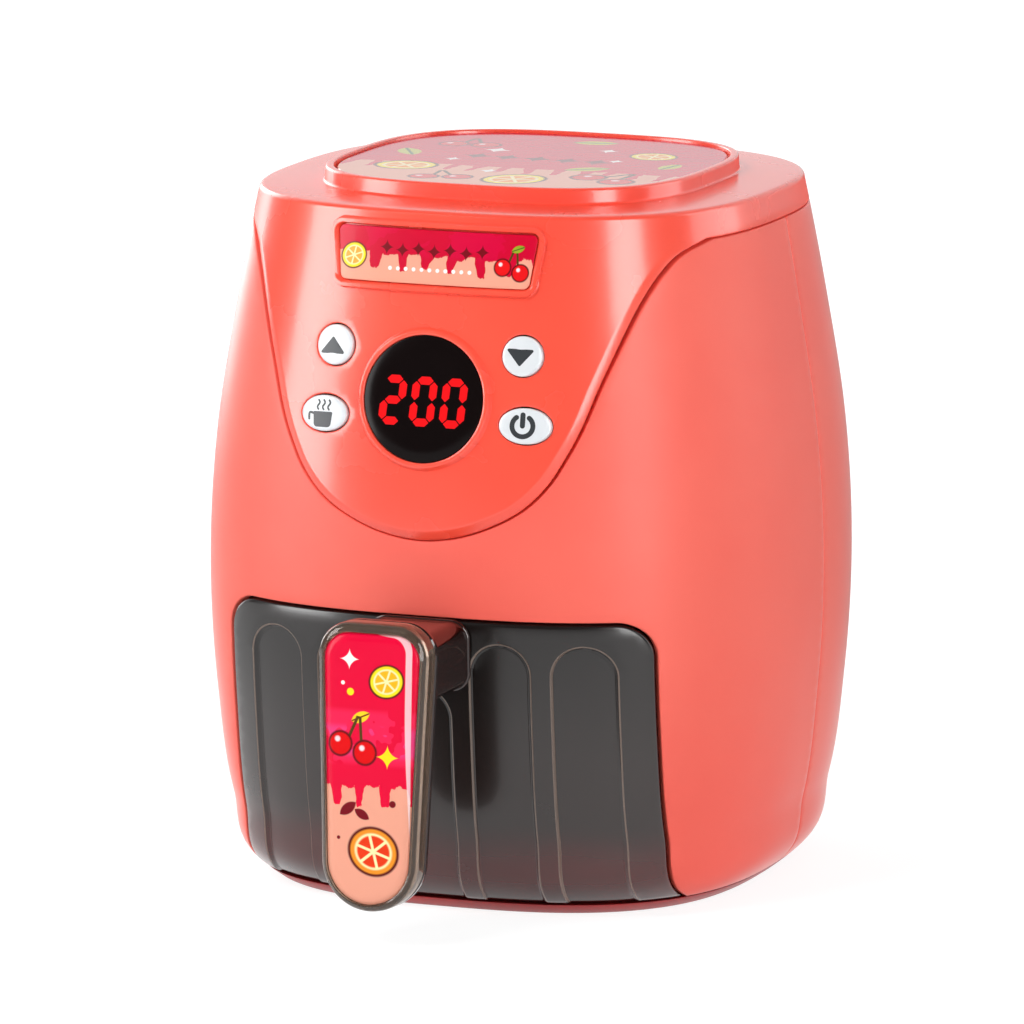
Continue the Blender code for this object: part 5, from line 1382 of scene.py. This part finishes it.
finishPiece(rearShell(), "housing", "coral", coral, "rear_shell")
print("rear shell done")


# Battery door with grip ribs and two hooks at its foot

def batteryDoor():
    s = doorSettings
    line = wallLine(doorLine())
    hole = wallLine(ovalLine(s["hole"], s["hole"], 36, 0, s["earHeight"]))
    ribs = [s["ribLow"] + rib * s["ribPitch"] for rib in range(s["ribs"])]
    across = np.linspace(-s["ribMarkHalf"], s["ribMarkHalf"], 32)
    marks = [level(across, rib + shift) for rib in ribs for shift in s["ribMarks"]]
    flat, faces = spread([line, hole], s["lip"], marks, s["step"])
    lift = -lipDepth(np.minimum(nearest(flat, line), nearest(flat, hole)), s["lip"])
    for rib in ribs:
        away = np.hypot(np.maximum(np.abs(flat[:, 0]) - s["ribHalf"], 0), flat[:, 1] - rib)
        lift -= s["ribDepth"] * (1 - stepUp(away, s["ribCore"], s["ribDepth"]))
    outer, inner = onBarrel(*flat.T, lift, 1), onBarrel(*flat.T, -s["thickness"], 1)
    door = addPiece("batteryDoor", *walled(flat, faces, outer, inner, 1))
    face = float(halfWidthAt(rearSettings["bayLow"])) - s["thickness"]
    hooks = []
    for middle in (-s["hookX"], s["hookX"]):
        ends = (middle - s["hookHalf"], middle + s["hookHalf"])
        hooks.append(raised("hook", [[(x, face + y, s["low"] + z) for y, z in s["hook"]] for x in ends]))
    return joined(door, *hooks)


finishPiece(batteryDoor(), "battery_door", "coral", coral, "battery_door")
print("battery door done")


# Screws: a pan head with a cross recess, as long as each place needs

screwSettings = {
    "headHeight": 0.0016, "shank": 0.0012, "point": 0.0012,
    "crown": ((0.5, 0), (0.75, 0.00008), (0.9, 0.00025), (0.98, 0.0005), (1, 0.0008)),  # share of the head, depth
    "cross": 0.0015, "crossWidth": 0.0005, "crossTaper": ((1.05, -0.0004), (0.55, 0.0009)),
}
screwKinds = {  # body, side it goes in from, shank's length, head's radius
    "shell": ("housing", "back", 0.022, 0.0026),
    "base": ("housing", "foot", 0.010, 0.0026),
    "handle": ("drawer", "back", 0.013, 0.0026),
    "pan": ("drawer", "back", 0.003, 0.0042),
    "battery_door": ("battery_door", "back", 0.0035, 0.0026),
}
screwNodes = ["%s_screw_%d" % (kind, number) for number in range(1, 5) for kind in ("shell", "base")]
screwNodes += ["%s_screw_%d" % (kind, number) for kind in ("handle", "pan") for number in (1, 2)]
screwNodes.append("battery_door_screw")


def screw(name, place, length, head):
    s = screwSettings
    start, shank = s["headHeight"], s["shank"]
    rows = [(head * share, depth) for share, depth in (*s["crown"], (1, start))]
    rows += [(shank, start), (shank, start + length - s["point"]), (shank * 0.3, start + length)]
    body = raised(name, [[(x, depth, z) for x, z in ovalLine(radius, radius, 40)] for radius, depth in rows])
    a, b = s["cross"], s["crossWidth"] / 2
    arm = [(a, -b), (a, b), (b, b), (b, a), (-b, a), (-b, b)]
    line = arm + [(-x, -z) for x, z in arm]
    rings = [[(x * share, depth, z * share) for x, z in line] for share, depth in s["crossTaper"]]
    combine(body, raised("recess", rings), "DIFFERENCE")
    body.data.transform(place)
    return body


steelPaint = Paint("steel", Metallic=1)
steelPaint.feed("Base Color", steelPaint.blend(steelPaint.noise(300), (0.5, 0.5, 0.52), (0.6, 0.6, 0.62)))
steel = steelPaint.feed("Roughness", steelPaint.noise(900) * 0.2 + 0.22).material
for node in screwNodes:
    body, side, length, head = screwKinds[node.split("_screw")[0]]
    low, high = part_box(node)
    middle = (low + high) / 2
    place = Matrix.Translation((middle.x, high.y, middle.z)) @ Matrix.Rotation(pi, 4, "Z")
    if side == "foot":
        place = Matrix.Translation((middle.x, middle.y, low.z)) @ Matrix.Rotation(pi / 2, 4, "X")
    finishPiece(screw("detailed_" + node, place, length, head), body, "steel", steel, node)
print("screws done")


# Base plate with stepped holes for its four screws

baseSettings = {
    "rows": ((0.004, 0), (0.0008, 0), (0.0003, 0.00015), (0, 0.0006), (0, 0.0027), (0.0002, baseTop)),
    "hole": ((0.0029, -0.001), (0.0029, 0.0022), (0.0015, 0.0022), (0.0015, 0.004)),
}


def basePlate():
    angles = np.linspace(0, 2 * pi, 256, endpoint=False) + pi / 2
    power = barrel["squareness"]
    rings = [squareRing(angles, halfWidthAt(z) - shrink, power, z) for shrink, z in baseSettings["rows"]]
    plate = raised("basePlate", rings)
    for number in range(1, 5):
        low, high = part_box("base_screw_%d" % number)
        x, y, _ = (low + high) / 2
        rings = [[(u, v, z) for u, v in ovalLine(radius, radius, 32, x, y)] for radius, z in baseSettings["hole"]]
        combine(plate, raised("hole", rings), "DIFFERENCE")
    return plate


finishPiece(basePlate(), "housing", "dark_red", darkRed, "base_plate")
print("base plate done")


# Materials of the frame's own nodes that stay

def brushed(name, colour, along):  # drawn metal, with its lines along one axis
    paint = Paint(name, Metallic=1)
    stretch = tuple(60 if axis == along else 2400 for axis in range(3))
    lines = paint.noise(1, 3, 0.6, paint.place(stretch))
    paint.feed("Base Color", paint.blend(lines, rgb(*colour), rgb(*[c * 0.86 for c in colour])))
    paint.feed("Roughness", lines * 0.25 + 0.2)
    return paint.bump(lines, 0.15, 0.00005).material


def rippled(name, colour, second, roughness, scale):  # insulation with a faint twist
    paint = Paint(name)
    twist = (paint.split(paint.place((scale, scale, scale)))[0] + paint.noise(200) * 3).sine()
    paint.feed("Base Color", paint.blend(twist.ease(-1, 1), rgb(*colour), rgb(*second)))
    paint.feed("Roughness", paint.noise(500) * 0.1 + roughness)
    return paint.bump(twist, 0.2, 0.0001).material


def boardGreen():  # lacquer over copper tracks
    paint = Paint("board_green", Coat_Weight=0.4, Coat_Roughness=0.2)
    x, _, z = paint.split(paint.place((900, 900, 900)))
    tracks = abs((x * 1.3 + paint.noise(90) * 3).sine()) * abs((z * 1.1 + paint.noise(70) * 3).sine())
    tracks = tracks.ease(0.06, 0.1)
    paint.feed("Base Color", paint.blend(tracks, rgb(44, 140, 70), rgb(16, 86, 44)))
    paint.feed("Roughness", tracks * 0.15 + 0.3)
    return paint.bump(tracks, 0.3, 0.00004).material


def cellWrap():  # dark sleeve with a copper end
    paint = Paint("cell", Coat_Weight=0.3)
    x = paint.split(paint.place((1000, 1000, 1000)))[0]
    copper = (x + paint.noise(300) * 0.05).ease(8, 8.05)
    paint.feed("Base Color", paint.blend(copper, rgb(30, 32, 36), rgb(196, 122, 48))).feed("Metallic", copper * 0.7)
    return paint.feed("Roughness", paint.noise(600) * 0.12 + 0.24).material


def speakerBlack():  # rings round the cone's middle
    paint = Paint("speaker_black")
    x, _, z = paint.split(paint.place(shift=(0, 0, -rearSettings["grilleHeight"])))
    waves = ((x * x + z * z).root() * 4200).sine()
    paint.feed("Base Color", paint.blend(waves.ease(-1, 1), rgb(26, 25, 25), rgb(38, 36, 36)))
    paint.feed("Roughness", paint.noise(800, 3) * 0.2 + 0.5)
    return paint.bump(waves, 0.3, 0.0002).material


finishes = {
    "dark_plastic": moulded("pan_black", (38, 36, 36), (32, 31, 31), 0.5, 0, 2.5).material,
    "module_white": moulded("module_white", (226, 224, 216), (218, 216, 207), 0.4).material,
    "frosted": moulded("frosted", (236, 232, 222), (228, 224, 214), 0.55, 0, 1.5).material,
    "pad_rubber": moulded("pad_rubber", (96, 98, 102), (86, 88, 92), 0.62, 0, 2).material,
    "board_green": boardGreen(),
    "speaker_black": speakerBlack(),
    "cell": cellWrap(),
    "steel": brushed("contact_steel", (206, 208, 210), 2),
    "wire_red": rippled("wire_red", (190, 26, 26), (160, 16, 18), 0.35, 2200),
    "wire_black": rippled("wire_black", (30, 30, 32), (20, 20, 22), 0.38, 2200),
}
for name, thing in frame["nodes"].items():
    if not thing.hide_render:
        for slot in thing.material_slots:
            slot.material = finishes[slot.material.name.split(".")[0]]
print("kept nodes finished:", sum(not thing.hide_render for thing in frame["nodes"].values()))


# Floor, backdrop and light

aim = Vector((0, 0, 0.09))


def lamp(name, azimuth, elevation, distance, width, height, power, roll, lights):
    data = bpy.data.lights.new(name, "AREA")
    data.shape, data.size, data.size_y, data.energy = "RECTANGLE", width, height, power
    thing = placed(name, data)
    away = bearing(azimuth, elevation)
    thing.location = aim + distance * away
    turned = away.to_track_quat("Z", "Y").to_matrix() @ Matrix.Rotation(radians(roll), 3, "Z")
    thing.rotation_euler = turned.to_euler()
    thing.visible_glossy, thing.visible_diffuse = lights != "diffuse", lights != "glossy"


lampRows = [  # name, degrees right of the front, degrees up, distance, width, height, power, roll, what it lights
    ("key", -24, 44, 1.6, 0.4, 0.4, 10.5, 0, "diffuse"),
    ("leftFill", -66, 8, 1.3, 0.62, 1.5, 7, 0, "diffuse"),
    ("leftGleam", -50, 10, 1.3, 0.55, 1.5, 23, 10, "glossy"),
    ("leftRim", -126, 6, 1.3, 0.8, 1.2, 12, 0, "both"),
    ("rightFill", 51, 12, 1.3, 0.24, 1.1, 7, 0, "diffuse"),
    ("rightGleam", 51, 10, 1.3, 0.5, 1.2, 15, 0, "glossy"),
    ("farRight", 108, 20, 1.5, 0.5, 1.0, 1.2, 0, "diffuse"),
    ("farGleam", 118, 14, 1.4, 0.9, 1.3, 10, 0, "glossy"),
]
for row in lampRows:
    lamp(*row)

floorSettings = {
    "size": 12, "height": -0.0002, "glow": 1.18,
    "shade": 0.25, "near": 0.12, "far": 0.34,   # the part that takes the object's shadow
    "dimmed": 0.6, "dimStart": 0.05, "dimEnd": 0.35,  # in reflections, behind the object
}


def ray(paint, kind):
    return paint.node("ShaderNodeLightPath", {}, {}, "Is %s Ray" % kind)


def whiteFloor():  # white to the eye and in reflections, plain grey for the light that falls on things
    s, paint = floorSettings, Paint("floor", Base_Color=(0.9, 0.9, 0.9), Roughness=0.6)
    x, y, _ = paint.split(paint.place())
    away = (x * x + y * y).root().ease(s["near"], s["far"])
    seen = ray(paint, "Camera").high(ray(paint, "Glossy")).high(ray(paint, "Transmission"))
    dimmed = ray(paint, "Glossy") * y.ease(s["dimStart"], s["dimEnd"]) * s["dimmed"]
    white = paint.node("ShaderNodeEmission", {}, {"Strength": (1 - dimmed) * s["glow"]})
    share = seen * (1 - s["shade"] * (1 - away))
    plain = Socket(paint, paint.shader.outputs[0])
    mixed = paint.node("ShaderNodeMixShader", {}, {0: share, 1: plain, 2: white})
    paint.join(paint.nodes["Material Output"].inputs[0], mixed)
    return paint.material


bpy.ops.mesh.primitive_plane_add(size=floorSettings["size"], location=(0, 0, floorSettings["height"]))
floor = bpy.context.object
floor.name = "floor"
floor.data.materials.append(whiteFloor())

worldSettings = {"back": 1.0, "front": 0.12, "fill": 0.3, "start": -0.2, "end": 0.7}


class Sky(Paint):
    def __init__(self, world):
        world.use_nodes = True
        self.nodes, self.links = world.node_tree.nodes, world.node_tree.links
        self.shader = self.nodes["Background"]


def whiteSky(world):  # white to the eye, in reflections only behind the object, and a low light on things
    s, sky = worldSettings, Sky(world)
    direction = sky.node("ShaderNodeTexCoord", {}, {}, "Generated")
    backness = sky.split(direction)[1].ease(s["start"], s["end"])
    mirror = backness * (s["back"] - s["front"]) + s["front"]
    seen, glossy = ray(sky, "Camera").high(ray(sky, "Transmission")), ray(sky, "Glossy")
    strength = seen.high(glossy * mirror).high(s["fill"] * (1 - seen) * (1 - glossy))
    sky.feed("Color", (0.98, 0.99, 1.0)).feed("Strength", strength)


bpy.context.scene.world = bpy.data.worlds.new("world")
whiteSky(bpy.context.scene.world)

bpy.context.scene.view_settings.view_transform = "Standard"
